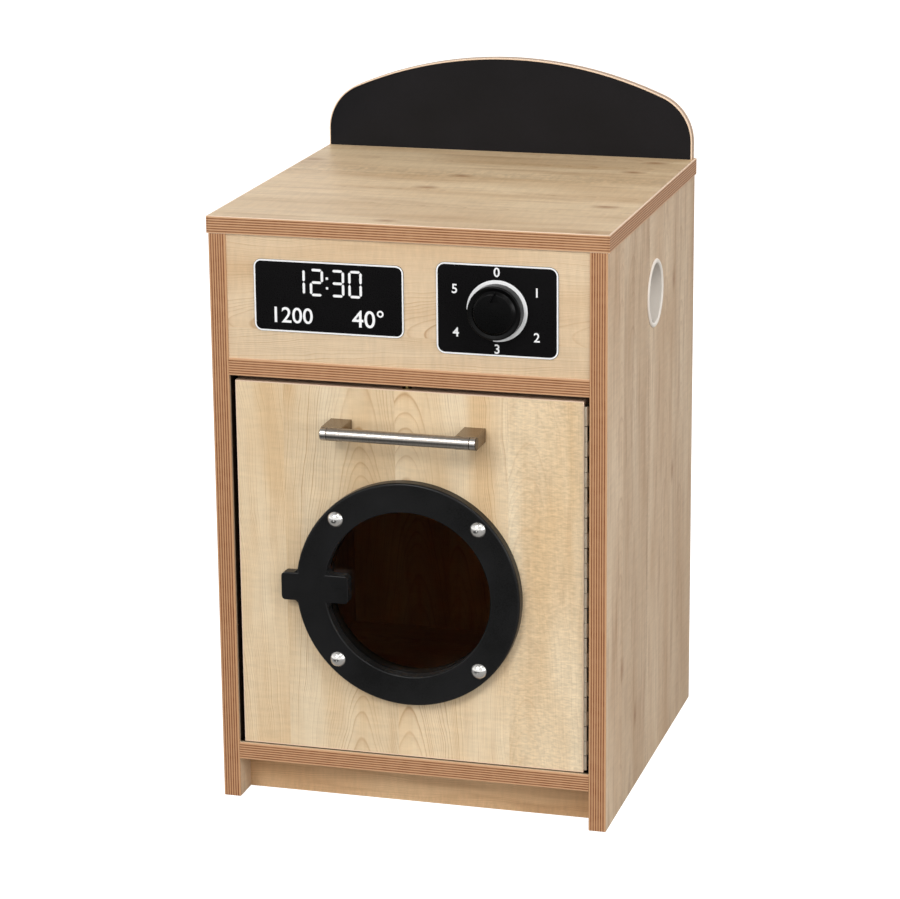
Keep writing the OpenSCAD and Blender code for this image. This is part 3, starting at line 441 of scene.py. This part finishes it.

# %% [markdown]
# The edging is a band of ABS plastic printed to look like the edge of birch plywood: seven pale layers with a
# darker one between each pair, in an 18 mm board. The layers are counted from where the board starts, which
# the model tells. Real prints waver a little, so the count is nudged by a noise that runs slowly along the
# band, and a finer noise breaks the dark lines.

# %% Striped ABS edging
BOARD = 18 * MM
LAYERS = 7
# the paler tone of the painted highlight on the bands' rounded edges
ARRIS_HIGHLIGHT_TONE = "#E8CDB2"
WAVES_PER_METRE = {"X": (4, 25, 6), "Y": (25, 4, 25), "Z": (6, 25, 4)}
WAVER = 0.25
BREAKS = 14
WEAKEST_LINE = 0.7
DARK_LINE = ((0.0, 1.0), (1.0, 1.0), (0.21, 1.0), (0.31, 0.0), (0.69, 0.0), (0.79, 1.0))


def striped_edging(name, axis, starts, pale, dark, highlight_width=0.0, thickness=BOARD, count=LAYERS):
    """ABS edging; its layers are counted along one axis from where the board starts. A solid that
    bands two boards gives both starts, and each point takes the board on its own side."""
    finish, tree, shader = start_finish(name, Roughness=0.4, Specular_IOR_Level=0.25)
    place = add(tree, "TexCoord")
    parts = add(tree, "SeparateXYZ", {"Vector": (place, "Object")})
    waves = WAVES_PER_METRE[axis]
    slow = add(tree, "Mapping", {"Vector": (place, "Object"), "Scale": waves})
    waver = add(tree, "TexNoise", {"Vector": (slow, 0), "Scale": 1.0, "Detail": 3.0})
    # the depth in the board, and the count of layers down to it
    first, last = starts[0], starts[-1]
    halfway = (first + last + thickness) / 2
    upper = add(tree, "Math", {0: (parts, axis), 1: halfway}, operation="GREATER_THAN")
    start = add(tree, "MapRange", {"Value": (upper, 0), 3: first, 4: last})
    depth = add(tree, "Math", {0: (parts, axis), 1: (start, 0)}, operation="SUBTRACT")
    nudge = add(tree, "MapRange", {"Value": (waver, "Fac"), 3: -WAVER, 4: WAVER})
    nudged = {0: (depth, 0), 1: count / thickness, 2: (nudge, 0)}
    counted = add(tree, "Math", nudged, operation="MULTIPLY_ADD")
    # a dark line round each whole count, broken by fine streaks, and none at the two faces
    layer = add(tree, "Math", {0: (counted, 0)}, operation="FRACT")
    line = add(tree, "ValToRGB", {"Fac": (layer, 0)}, stops=DARK_LINE)
    inside = add(tree, "Math", {0: (counted, 0), 1: count / 2, 2: (count - 1) / 2}, operation="COMPARE")
    fine = tuple(BREAKS * w for w in waves)
    break_place = add(tree, "Mapping", {"Vector": (place, "Object"), "Scale": fine})
    breaks = {"Vector": (break_place, 0), "Scale": 1.0, "Detail": 4.0, "Roughness": 0.65}
    streaks = add(tree, "TexNoise", breaks)
    strength = add(tree, "MapRange", {"Value": (streaks, "Fac"), 1: LOW, 2: HIGH, 3: WEAKEST_LINE, 4: 1.0})
    shade = add(tree, "Math", {0: (line, 0), 1: (strength, 0)}, operation="MULTIPLY")
    shade_inside = add(tree, "Math", {0: (shade, 0), 1: (inside, 0)}, operation="MULTIPLY")
    two_tones = {"Factor": (shade_inside, 0), 6: linear(pale), 7: linear(dark)}
    layers = add(tree, "Mix", two_tones, data_type="RGBA")
    # painted highlight: a paler tone along the band's rounded edges, where they would catch the light
    within = {0: (depth, 0), 1: thickness / 2, 2: thickness / 2 - highlight_width}
    core = add(tree, "Math", within, operation="COMPARE")
    with_highlight = {"Factor": (core, 0), 6: linear(ARRIS_HIGHLIGHT_TONE), 7: (layers, 2)}
    colour = add(tree, "Mix", with_highlight, data_type="RGBA")
    feed(tree, shader, Base_Color=(colour, 2))
    return finish


UPSTAND_THICK, UPSTAND_LAYERS = 12 * MM, 5
SIDE_STARTS = (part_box("left_side")[0].x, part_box("right_side")[0].x)
SHELF_STARTS = (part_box("base_shelf")[0].z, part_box("middle_shelf")[0].z)
TOP_START, DOOR_START = (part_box("worktop")[0].z,), (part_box("door_panel")[0].y,)
ARCH_START = (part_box("upstand")[0].y,)
side_edging = striped_edging("abs_edging_sides", "X", SIDE_STARTS, "#C49770", "#7C482A")
top_edging = striped_edging("abs_edging_worktop", "Z", TOP_START, "#C99D77", "#80502F", 0.6 * MM)
shelf_edging = striped_edging("abs_edging_shelves", "Z", SHELF_STARTS, "#C99C76", "#81502F")
door_edging = striped_edging("abs_edging_door", "Y", DOOR_START, "#F4D6BB", "#C08A66", 0.8 * MM)
arch_edging = striped_edging(
    "abs_edging_arch", "Y", ARCH_START, "#B9997B", "#8E6C52", 2.4 * MM, UPSTAND_THICK, UPSTAND_LAYERS
)

# %% [markdown]
# The arch and the hoop are black. The arch is black melamine board, almost even with a trace of pale
# dust in its texture. The hoop is routed from fibreboard, sealed and sprayed black, and rounded at its
# arrises, so its edges catch a thin line of light. The edge of the door's hole is brushed with paint
# and duller, the knob is moulded with a fine spark grain, and the plates are printed black on their
# face. All are a dark colour with a fine mottle, which also raises the surface by a hair.

# %% Black finishes
DUST_LOW, DUST_HIGH = 0.15, 0.4
BLOTCHES_PER_METRE = 14.0
LESS_ROUGH, MORE_ROUGH = 0.04, 0.06


def speckled_black(name, base, dust, roughness, grain, specular):
    """A dark, nearly even finish with a fine mottle of a given grain."""
    finish, tree, shader = start_finish(name, Roughness=roughness, Specular_IOR_Level=specular)
    place = add(tree, "TexCoord")
    speckle = {"Vector": (place, "Object"), "Scale": 1 / grain, "Detail": 5.0, "Roughness": 0.6}
    fine = add(tree, "TexNoise", speckle)
    slow = add(tree, "TexNoise", {"Vector": (place, "Object"), "Scale": BLOTCHES_PER_METRE, "Detail": 3.0})
    both = add(tree, "Math", {0: (fine, "Fac"), 1: (slow, "Fac")}, operation="MULTIPLY")
    mottle = add(tree, "MapRange", {"Value": (both, 0), 1: DUST_LOW, 2: DUST_HIGH})
    colour = add(tree, "Mix", {"Factor": (mottle, 0), 6: linear(base), 7: linear(dust)}, data_type="RGBA")
    duller = {1: DUST_LOW, 2: DUST_HIGH, 3: roughness - LESS_ROUGH, 4: roughness + MORE_ROUGH}
    dull = add(tree, "MapRange", {"Value": (both, 0), **duller})
    relief = add(tree, "Bump", {"Height": (fine, "Fac"), "Strength": 0.12, "Distance": 0.15 * MM})
    feed(tree, shader, Base_Color=(colour, 2), Roughness=(dull, 0), Normal=(relief, 0))
    return finish


arch_black = speckled_black("black_melamine_board", "#08070A", "#100E12", 0.45, 1.2 * MM, 0.2)
hoop_black = speckled_black("black_sprayed_mdf", "#151515", "#202021", 0.3, 0.8 * MM, 0.2)
lining_black = speckled_black("black_painted_edge", "#0B0A0A", "#151312", 0.55, 1.0 * MM, 0.5)
knob_black = speckled_black("black_moulded_abs", "#020202", "#050505", 0.3, 2.0 * MM, 0.15)
plate_black = speckled_black("black_printed_plate", "#050405", "#090809", 0.28, 0.7 * MM, 0.15)

# %% [markdown]
# The metals are a brushed stainless bar, satin zinc legs, bright nickel domes, bare rolled steel on the
# hinge, zinc on the screws and brass on the catch. Brushing leaves fine lines round the bar, which spread a
# reflection along it, so the bump of the bar is a noise squeezed along its length. The joint between the bar
# and its caps is a dark line, drawn where the model says that each of them ends.

# %% Metal finishes
TARNISH_LOW, TARNISH_HIGH = 0.32, 0.68
SEAM_HALF, SEAM_TONE = 0.6 * MM, "#4A4038"
NO_SEAMS = (0.0, 9.0)  # nine metres away, where no solid is
DULLER, BRIGHTER = 0.05, 0.04


def worked_metal(name, light, dark, roughness, scratch, relief=0.06, seams=NO_SEAMS):
    """A metal with a tone and roughness that follow its working; scratch is a length for each axis.
    Seams are a middle in x and how far to each side of it a dark joint line lies."""
    finish, tree, shader = start_finish(name, Metallic=1.0, Roughness=roughness)
    place = add(tree, "TexCoord")
    drawn = add(tree, "Mapping", {"Vector": (place, "Object"), "Scale": tuple(1 / s for s in scratch)})
    marks = add(tree, "TexNoise", {"Vector": (drawn, 0), "Scale": 1.0, "Detail": 4.0, "Roughness": 0.6})
    tone = add(tree, "MapRange", {"Value": (marks, "Fac"), 1: TARNISH_LOW, 2: TARNISH_HIGH})
    colour = add(tree, "Mix", {"Factor": (tone, 0), 6: linear(dark), 7: linear(light)}, data_type="RGBA")
    parts = add(tree, "SeparateXYZ", {"Vector": (place, "Object")})
    aside = add(tree, "Math", {0: (parts, "X"), 1: seams[0]}, operation="SUBTRACT")
    apart = add(tree, "Math", {0: (aside, 0)}, operation="ABSOLUTE")
    at_seam = add(tree, "Math", {0: (apart, 0), 1: seams[1], 2: SEAM_HALF}, operation="COMPARE")
    with_seams = {"Factor": (at_seam, 0), 6: (colour, 2), 7: linear(SEAM_TONE)}
    seamed = add(tree, "Mix", with_seams, data_type="RGBA")
    gloss = {1: LOW, 2: HIGH, 3: roughness + DULLER, 4: roughness - BRIGHTER}
    dull = add(tree, "MapRange", {"Value": (marks, "Fac"), **gloss})
    grooves = add(tree, "Bump", {"Height": (marks, "Fac"), "Strength": relief, "Distance": 0.1 * MM})
    feed(tree, shader, Base_Color=(seamed, 2), Roughness=(dull, 0), Normal=(grooves, 0))
    return finish


def ends_of(node):
    """Middle of a solid in x, and how far to each side of it its ends lie."""
    low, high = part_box(node)
    return (low.x + high.x) / 2, (high.x - low.x) / 2


BAR_LINES = (0.5 * MM, 6 * MM, 6 * MM)
CAP_LINES = (0.4 * MM, 5 * MM, 5 * MM)
ROLLED_LINES = (1.2 * MM, 1.2 * MM, 10 * MM)
BAR_ENDS, CAP_ENDS = ends_of("handle_bar"), ends_of("handle_end_caps")
bar_steel = worked_metal("brushed_stainless_bar", "#C0BAB3", "#A09A92", 0.31, BAR_LINES, 0.04, BAR_ENDS)
cap_steel = worked_metal("turned_stainless_cap", "#D2CEC8", "#B3ADA5", 0.3, CAP_LINES, 0.04, CAP_ENDS)
leg_steel = worked_metal("satin_zinc_leg", "#8A7861", "#6C5D4A", 0.22, (0.6 * MM,) * 3, 0.05)
dome_nickel = worked_metal("polished_nickel_dome", "#F0EEEA", "#DEDBD6", 0.2, (3 * MM,) * 3, 0.02)
hinge_steel = worked_metal("rolled_hinge_steel", "#DDD0BC", "#B5A58F", 0.5, ROLLED_LINES, 0.1)
pin_steel = worked_metal("oiled_steel_pin", "#4A443C", "#322D28", 0.45, (1 * MM, 1 * MM, 8 * MM), 0.05)
screw_zinc = worked_metal("zinc_plated_screw", "#C9C8C2", "#A3A19A", 0.35, (1 * MM,) * 3, 0.05)
catch_brass = worked_metal("turned_brass", "#A89468", "#7C6A45", 0.35, (1 * MM, 1 * MM, 4 * MM), 0.05)

# %% [markdown]
# What is left is plastic and wood. The hand holds are moulded in off-white ABS, the dial's bush is
# nylon and the print on the plates is white ink. Moulding gives an even colour with soft flow marks
# and the orange peel of the mould, so the noises are faint. The dowels are beech, which is close
# enough to maple to be made by the same function with other colours.

# %% Plastic and beech finishes
FLOWS_PER_METRE = 30.0
PEEL = 1.6 * MM
FLOW_DULL = 0.04
BEECH_TONES = ("#DDB98E", "#CFA576", "#A87C50")


def moulded_plastic(name, light, dark, roughness):
    """Moulded plastic: a nearly even colour, with the soft flow marks and orange peel of its mould."""
    finish, tree, shader = start_finish(name, Roughness=roughness, IOR=1.53)
    place = add(tree, "TexCoord")
    flow = add(tree, "TexNoise", {"Vector": (place, "Object"), "Scale": FLOWS_PER_METRE, "Detail": 3.0})
    colour = add(tree, "Mix", {"Factor": (flow, "Fac"), 6: linear(dark), 7: linear(light)}, data_type="RGBA")
    peel = add(tree, "TexNoise", {"Vector": (place, "Object"), "Scale": 1 / PEEL, "Detail": 1.0})
    relief = add(tree, "Bump", {"Height": (peel, "Fac"), "Strength": 0.05, "Distance": 0.1 * MM})
    dull = add(tree, "MapRange", {"Value": (flow, "Fac"), 3: roughness - FLOW_DULL, 4: roughness + FLOW_DULL})
    feed(tree, shader, Base_Color=(colour, 2), Roughness=(dull, 0), Normal=(relief, 0))
    return finish


hold_abs = moulded_plastic("offwhite_abs", "#F4ECE2", "#E6DCCF", 0.38)
bush_nylon = moulded_plastic("natural_nylon", "#E4E0D2", "#D2CDBD", 0.45)
print_white = moulded_plastic("screen_printed_white", "#F7F7F7", "#EDEDED", 0.4)
dowel_beech = maple_board("fluted_beech_dowel", "x", (0.4, 0.2, 0.3), BEECH_TONES)

# %% [markdown]
# The window is a bronze acrylic sheet, cast and polished, and behind it lies an empty cupboard. The
# sheet is a dielectric that lets through what it doesn't mirror, tinted brown: a little over half of
# the red light, about a third of the green and less of the blue. The cupboard then darkens by itself,
# as light has to pass the sheet on its way in and again on its way out.

# %% Bronze acrylic
HAZE_PER_METRE = 25.0
BRONZE_DARK, BRONZE_LIGHT = "#C8A173", "#CFA97B"
POLISH = (0.01, 0.03)


def smoked_acrylic(name):
    """A bronze sheet with a trace of haze in its tint and its gloss."""
    finish, tree, shader = start_finish(name, Roughness=0.02, IOR=1.49, Transmission_Weight=1.0)
    place = add(tree, "TexCoord")
    haze = add(tree, "TexNoise", {"Vector": (place, "Object"), "Scale": HAZE_PER_METRE, "Detail": 4.0})
    bronze = {"Factor": (haze, "Fac"), 6: linear(BRONZE_DARK), 7: linear(BRONZE_LIGHT)}
    tint = add(tree, "Mix", bronze, data_type="RGBA")
    dull = add(tree, "MapRange", {"Value": (haze, "Fac"), 3: POLISH[0], 4: POLISH[1]})
    feed(tree, shader, Base_Color=(tint, 2), Roughness=(dull, 0))
    return finish


pane_acrylic = smoked_acrylic("bronze_acrylic_sheet")

# %% [markdown]
# Each solid of the model now gets its finish, by the name that the model gives it. The finish is put
# on the object and not on its mesh, so that the mesh stays as it was packed.

# %% Give every solid its finish
WEARERS = {
    side_maple: ["left_side", "right_side"],
    inner_maple: ["base_shelf", "middle_shelf"],
    plinth_maple: ["plinth"],
    back_maple: ["back_panel"],
    fascia_maple: ["fascia"],
    top_maple: ["worktop"],
    door_maple: ["door_panel"],
    side_edging: ["side_bands"],
    shelf_edging: ["shelf_bands"],
    top_edging: ["worktop_front_band", "worktop_side_bands"],
    door_edging: ["door_bands"],
    arch_edging: ["upstand_band"],
    arch_black: ["upstand"],
    hoop_black: ["window_ring"],
    lining_black: ["window_lining"],
    pane_acrylic: ["window_pane"],
    plate_black: ["display_plate", "dial_plate"],
    knob_black: ["dial"],
    bush_nylon: ["dial_bush"],
    hold_abs: ["left_hand_hold", "right_hand_hold"],
    bar_steel: ["handle_bar"],
    cap_steel: ["handle_end_caps"],
    leg_steel: ["handle_legs"],
    dome_nickel: ["dome_caps"],
    hinge_steel: ["hinge_case_leaf", "hinge_door_leaf"],
    pin_steel: ["hinge_pin"],
    catch_brass: ["catch_barrel", "catch_bullet", "strike_plate", "strike_screws"],
    screw_zinc: [
        "hinge_case_screws", "hinge_door_screws", "back_screws", "ring_screws", "handle_screws",
        "dial_spindle", "dial_washer", "dial_nut",
    ],
    dowel_beech: ["case_dowels", "upstand_dowels"],
}
dressed = []
for finish, names in WEARERS.items():
    for name in names:
        dressed.append(name)
        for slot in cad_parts[name].material_slots:
            slot.link = "OBJECT"
            slot.material = finish
print("dressed:", len(dressed), "of", len(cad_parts))
print("not dressed:", sorted(set(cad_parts) - set(dressed)))

# %% [markdown]
# The two plates are screen printed in white on black. A picture could carry the print, but then it
# would blur close up, so each mark is a thin raised shape on its plate, as ink has a thickness. A mark
# is a flat patch of points, and one helper raises a list of them. The first marks are the lines round
# the plates' edges, each a band between a larger and a smaller rectangle with round corners.

# %% Ink on the plates
INK_FILM = 0.08 * MM
PLATE_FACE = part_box("dial_plate")[0].y
EDGE_LINE = 1.8 * MM
BARE_EDGE = 0.2 * MM


def centre_of(node):
    """Middle of a solid's box, and its width and height, seen from the front."""
    low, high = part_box(node)
    return (low.x + high.x) / 2, (low.z + high.z) / 2, high.x - low.x, high.z - low.z


def round_rectangle(cx, cz, width, height, radius, steps=8):
    """Points of a rectangle with round corners, as x and z."""
    points = []
    for corner, (sx, sz) in enumerate(((1, 1), (-1, 1), (-1, -1), (1, -1))):
        for i in range(steps + 1):
            turn = math.radians(90 * corner + 90 * i / steps)
            x = cx + sx * (width / 2 - radius) + radius * math.cos(turn)
            z = cz + sz * (height / 2 - radius) + radius * math.sin(turn)
            points.append((x, z))
    return points


def place_ink(name, mesh, body):
    """Makes a mesh of white ink a piece of the plate's print."""
    mesh.materials.append(print_white)
    piece = bpy.data.objects.new(name, mesh)
    scene.collection.objects.link(piece)
    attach(piece, body)


def print_ink(name, patches, body):
    """Raises flat patches, each a list of x and z points, by the thickness of the ink."""
    shape = bmesh.new()
    back = PLATE_FACE + INK_FILM / 4
    for patch in patches:
        shape.faces.new([shape.verts.new((x, back, z)) for x, z in patch])
    bmesh.ops.remove_doubles(shape, verts=shape.verts, dist=0.001 * MM)
    raised = bmesh.ops.extrude_face_region(shape, geom=shape.faces[:])
    front = [v for v in raised["geom"] if isinstance(v, bmesh.types.BMVert)]
    bmesh.ops.translate(shape, verts=front, vec=(0, -INK_FILM * 5 / 4, 0))
    bmesh.ops.recalc_face_normals(shape, faces=shape.faces)
    mesh = bpy.data.meshes.new(name)
    shape.to_mesh(mesh)
    shape.free()
    place_ink(name, mesh, body)
    print(name, len(mesh.polygons), "faces")


def band(outer, inner, closed=True):
    """Four-sided patches between two lines with the same number of points."""
    count = len(outer)
    patches = [(outer[i], outer[(i + 1) % count], inner[(i + 1) % count], inner[i]) for i in range(count)]
    return patches if closed else patches[:-1]


def edge_line(node, radius):
    """The white line round the edge of a plate."""
    cx, cz, width, height = centre_of(node)
    outset = 2 * BARE_EDGE
    inset = 2 * EDGE_LINE
    outer = round_rectangle(cx, cz, width - outset, height - outset, radius)
    return band(outer, round_rectangle(cx, cz, width - inset, height - inset, radius - EDGE_LINE))


print(f"plates' face at y = {PLATE_FACE / MM:.1f} mm")

# %% [markdown]
# The display shows a clock, drawn as a real one is: each figure lights some of seven segments, named a
# to g from the top clockwise with g in the middle. So a figure is a short word of segments. The time
# is a generic one, and only its figures are listed.

# %% A clock in seven segments
DIGIT_WIDE, DIGIT_HIGH, SEGMENT = 14.2 * MM, 28 * MM, 2.6 * MM
SEGMENT_GAP = 0.5 * MM
LIT = {"0": "abcdef", "1": "bc", "2": "abged", "3": "abgcd"}


def segment(x0, z0, x1, z1):
    """One segment: a bar with pointed ends, level or upright, between two corners of the digit."""
    half = SEGMENT / 2
    if z0 == z1:
        a, b = x0 + SEGMENT_GAP, x1 - SEGMENT_GAP
        under, over = z0 - half, z0 + half
        return [(a, z0), (a + half, under), (b - half, under), (b, z0), (b - half, over), (a + half, over)]
    a, b = z0 + SEGMENT_GAP, z1 - SEGMENT_GAP
    left, right = x0 - half, x0 + half
    return [(x0, a), (right, a + half), (right, b - half), (x0, b), (left, b - half), (left, a + half)]


def clock_digit(figure, left, bottom):
    """The lit segments of one figure."""
    half = SEGMENT / 2
    x0, x1 = left + half, left + DIGIT_WIDE - half
    low, top = bottom + half, bottom + DIGIT_HIGH - half
    mid = (low + top) / 2
    ends = {
        "a": (x0, top, x1, top),
        "b": (x1, mid, x1, top),
        "c": (x1, low, x1, mid),
        "d": (x0, low, x1, low),
        "e": (x0, low, x0, mid),
        "f": (x0, mid, x0, top),
        "g": (x0, mid, x1, mid),
    }
    return [segment(*ends[name]) for name in LIT[figure]]


def dot(x, z, size):
    """A small square patch."""
    return [(x, z), (x + size, z), (x + size, z + size), (x, z + size)]


TIME = "1230"
DIGIT_LEFTS = (-38.5, -19.3, 2.7, 21.1)
COLON_DOT, COLON_HEIGHTS = 2.4 * MM, (7.5, 17.5)
display_x, display_z, _, _ = centre_of("display_plate")
CLOCK_BOTTOM = display_z + 1.5 * MM
clock = []
for figure, left in zip(TIME, DIGIT_LEFTS):
    clock += clock_digit(figure, display_x + left * MM, CLOCK_BOTTOM)
for up in COLON_HEIGHTS:
    clock.append(dot(display_x - COLON_DOT, CLOCK_BOTTOM + up * MM, COLON_DOT))
print_ink("display_ink", edge_line("display_plate", 8 * MM) + clock, "case")

# %% [markdown]
# Round the dial runs a white scale, an arc that is open at the lower left. The plate is centred on
# the dial, so its middle is the dial's too. Numbers come from Blender's built-in typeface. They are
# swollen a little, as the real ones are bold, and turned into meshes, so that they are the same
# everywhere. They stay generic: the positions 0 to 5, a speed and a heat.

# %% Numbers and the scale round the dial
SCALE_RADII, SCALE_START, SCALE_END = (31.2 * MM, 27.4 * MM), -98, 180
SCALE_DROP = 0.3 * MM
CAPITAL_SHARE = 0.73
STROKE_SWELL = 0.2 * MM
POSITIONS = ((93.8, 579.3), (134.5, 560.7), (134.4, 515.5), (93.8, 501.6), (51.5, 516.8), (50.5, 560.7))


def arc(cx, cz, radius, start, end, steps=90):
    """Points of an arc between two angles in degrees, as x and z."""
    turns = [math.radians(start + (end - start) * i / steps) for i in range(steps + 1)]
    return [(cx + radius * math.cos(t), cz + radius * math.sin(t)) for t in turns]


def print_number(name, text, x_mm, z_mm, high_mm, body="case"):
    """A number in the built-in typeface, centred on a point of the plate, turned into a thin mesh."""
    letters = bpy.data.curves.new(name, "FONT")
    letters.body = text
    letters.size = high_mm * MM / CAPITAL_SHARE
    letters.extrude = INK_FILM / 2
    letters.offset = STROKE_SWELL
    letters.resolution_u = 6
    drawn = bpy.data.objects.new(name + "_drawn", letters)
    scene.collection.objects.link(drawn)
    mesh = bpy.data.meshes.new_from_object(drawn.evaluated_get(bpy.context.evaluated_depsgraph_get()))
    bpy.data.objects.remove(drawn)
    mesh.name = name
    xs, ys = [v.co.x for v in mesh.vertices], [v.co.y for v in mesh.vertices]
    middle = Vector(((min(xs) + max(xs)) / 2, (min(ys) + max(ys)) / 2, 0))
    spot = Matrix.Translation((x_mm * MM, PLATE_FACE - INK_FILM / 4, z_mm * MM))
    upright = Matrix.Rotation(math.pi / 2, 4, "X")
    mesh.transform(spot @ upright @ Matrix.Translation(-middle))
    mesh.materials.clear()
    place_ink(name, mesh, body)


dial_x, dial_z, _, _ = centre_of("dial_plate")
scale = [arc(dial_x, dial_z - SCALE_DROP, radius, SCALE_START, SCALE_END) for radius in SCALE_RADII]
print_ink("dial_ink", edge_line("dial_plate", 9 * MM) + band(*scale, closed=False), "case")
for figure, (x_mm, z_mm) in enumerate(POSITIONS):
    print_number(f"dial_number_{figure}", str(figure), x_mm, z_mm, 9.6)
print_number("speed_number", "1200", -117.5, 524, 16.5)
print_number("heat_number", "40\u00b0", -39.5, 524.5, 18)
print("numbers:", len(POSITIONS) + 2)

# %% [markdown]
# No real edge is truly sharp: routed board, moulded plastic and cast metal all end in a small round
# that catches the light. The solids' edges are sharp, so those that show most get modifiers, which
# leave the mesh as it is: weld the split corners, dissolve the triangles of flat faces, round the
# edges that turn sharply, and weight the normals so that the flats stay flat. The list gives the width
# of a round in millimetres and its number of steps.

# %% Round the edges
ROUNDED = {
    (1.3, 3): ["window_ring"],
    (0.8, 2): ["handle_legs"],
    (0.7, 3): ["dial"],
    (0.7, 2): ["left_hand_hold", "right_hand_hold"],
    (0.4, 2): [
        "worktop_front_band", "worktop_side_bands", "side_bands", "shelf_bands", "door_bands", "upstand_band",
    ],
    (0.35, 2): ["handle_end_caps"],
    (0.25, 2): ["display_plate", "dial_plate", "handle_bar"],
    (0.2, 1): ["window_pane"],
    (0.15, 1): ["hinge_case_leaf", "hinge_door_leaf"],
}
SHARP, FLAT = math.radians(38), math.radians(0.3)
SAME_POINT = 0.001 * MM


def round_edges(node, width_mm, segments):
    """Rounds a solid's sharp edges with modifiers alone."""
    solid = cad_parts[node]
    weld = solid.modifiers.new("weld_corners", "WELD")
    weld.merge_threshold = SAME_POINT
    flats = solid.modifiers.new("flat_faces", "DECIMATE")
    flats.decimate_type, flats.angle_limit = "DISSOLVE", FLAT
    rounding = solid.modifiers.new("edge_round", "BEVEL")
    rounding.width, rounding.segments = width_mm * MM, segments
    rounding.limit_method, rounding.angle_limit = "ANGLE", SHARP
    rounding.use_clamp_overlap = True
    flat_normals = solid.modifiers.new("flat_normals", "WEIGHTED_NORMAL")
    flat_normals.keep_sharp = False


for (width_mm, segments), nodes in ROUNDED.items():
    for node in nodes:
        round_edges(node, width_mm, segments)
    print(f"rounded to {width_mm} mm:", ", ".join(nodes))

# %% [markdown]
# The light is plain and soft, as in a studio. A large softbox stands high at the front left, a weaker
# one at the right, and a small one high at the front right puts a glint on metal and black lacquer.
# None of them shows in the picture.

# %% Studio lights
CUPBOARD_MIDDLE = Vector((0, -0.1, 0.35))


def softbox(name, place, size, power):
    """A square area light, turned to the cupboard's middle, that the camera doesn't see."""
    data = bpy.data.lights.new(name, "AREA")
    data.shape, data.size, data.energy = "SQUARE", size, power
    box = bpy.data.objects.new(name, data)
    box.location = place
    box.rotation_mode = "QUATERNION"
    box.rotation_quaternion = (CUPBOARD_MIDDLE - Vector(place)).to_track_quat("-Z", "Y")
    box.visible_camera = False
    scene.collection.objects.link(box)


softbox("key_softbox", (-1.15, -4.2, 3.5), size=1.8, power=100)
softbox("side_softbox", (3.6, -1.7, 1.5), size=1.4, power=30)
softbox("glint_softbox", (1.5, -1.9, 3.0), size=0.5, power=20)

# %% [markdown]
# The floor is pale paper, cut out on white: to the eye it glows an even white. To the things on it, it
# is only paper that reflects light, and in front of the cupboard a dark cloth lies on it, which the
# eye isn't shown. Photographers lay out black cloth for black products, because a gloss mirrors the
# floor, and over pale paper the hoop and the window would look grey.

# %% Pale floor with a dark cloth
FLOOR_RADIUS, RIM_POINTS = 14, 64
CLOTH_MIDDLE, CLOTH_HALF = (-0.34, -1.36), (0.52, 0.98)
CLOTH_FULL, CLOTH_GONE = 0.85, 1.1
CLOTH_TONE, PAPER_TONE = 0.015, 0.38
WHITE = (1, 1, 1, 1)


def seen_and_felt(tree, seen, felt):
    """A strength that is one value to the eye and another to the surfaces that it lights."""
    path = add(tree, "LightPath")
    return add(tree, "MapRange", {"Value": (path, "Is Camera Ray"), 3: felt, 4: seen})


floor_mesh = bpy.data.meshes.new("studio_floor")
turns = [i * math.tau / RIM_POINTS for i in range(RIM_POINTS)]
rim = [(FLOOR_RADIUS * math.cos(t), FLOOR_RADIUS * math.sin(t), 0) for t in turns]
floor_mesh.from_pydata(rim, [], [list(range(RIM_POINTS))])
floor = bpy.data.objects.new("studio_floor", floor_mesh)
scene.collection.objects.link(floor)
paper, tree, shader = start_finish("white_paper_floor", Roughness=0.9, Specular_IOR_Level=0.0)
place = add(tree, "TexCoord")
cloth_scale = (1 / CLOTH_HALF[0], 1 / CLOTH_HALF[1], 1)
cloth_shift = (-CLOTH_MIDDLE[0] * cloth_scale[0], -CLOTH_MIDDLE[1] * cloth_scale[1], 0)
onto_cloth = {"Vector": (place, "Object"), "Location": cloth_shift, "Scale": cloth_scale}
from_cloth = add(tree, "Mapping", onto_cloth)
cloth_radius = add(tree, "VectorMath", {0: (from_cloth, 0)}, operation="LENGTH")
cloth_edge = {1: CLOTH_FULL, 2: CLOTH_GONE, 3: CLOTH_TONE, 4: PAPER_TONE}
reflected = add(tree, "MapRange", {"Value": (cloth_radius, "Value"), **cloth_edge})
glow = seen_and_felt(tree, 1.0, 0.0)
feed(tree, shader, Base_Color=(reflected, 0), Emission_Strength=(glow, 0))
shader.inputs["Emission Color"].default_value = WHITE
floor_mesh.materials.append(paper)
print(f"cloth: {2 * CLOTH_HALF[0]:.2f} by {2 * CLOTH_HALF[1]:.2f} m")

# %% [markdown]
# The sky round the stage is a full white for the eye. For the light it is white at the horizon and dim
# overhead, so the upright faces are filled from all sides and the worktop isn't washed out. The
# standard view keeps white as white.

# %% White sky
SKY_AT_HORIZON, SKY_OVERHEAD = 1.3, 0.32
world = bpy.data.worlds.new("white_studio")
world.use_nodes = True
scene.world = world
sky_tree = world.node_tree
sky = sky_tree.nodes["Background"]
sky.inputs["Color"].default_value = WHITE
direction = add(sky_tree, "TexCoord")
height = add(sky_tree, "SeparateXYZ", {"Vector": (direction, "Generated")})
dome = add(sky_tree, "MapRange", {"Value": (height, "Z"), 3: SKY_AT_HORIZON, 4: SKY_OVERHEAD})
sky_light = seen_and_felt(sky_tree, 1.0, (dome, 0))
feed(sky_tree, sky, Strength=(sky_light, 0))
scene.view_settings.view_transform = "Standard"
print("sky:", SKY_AT_HORIZON, "at the horizon,", SKY_OVERHEAD, "overhead")
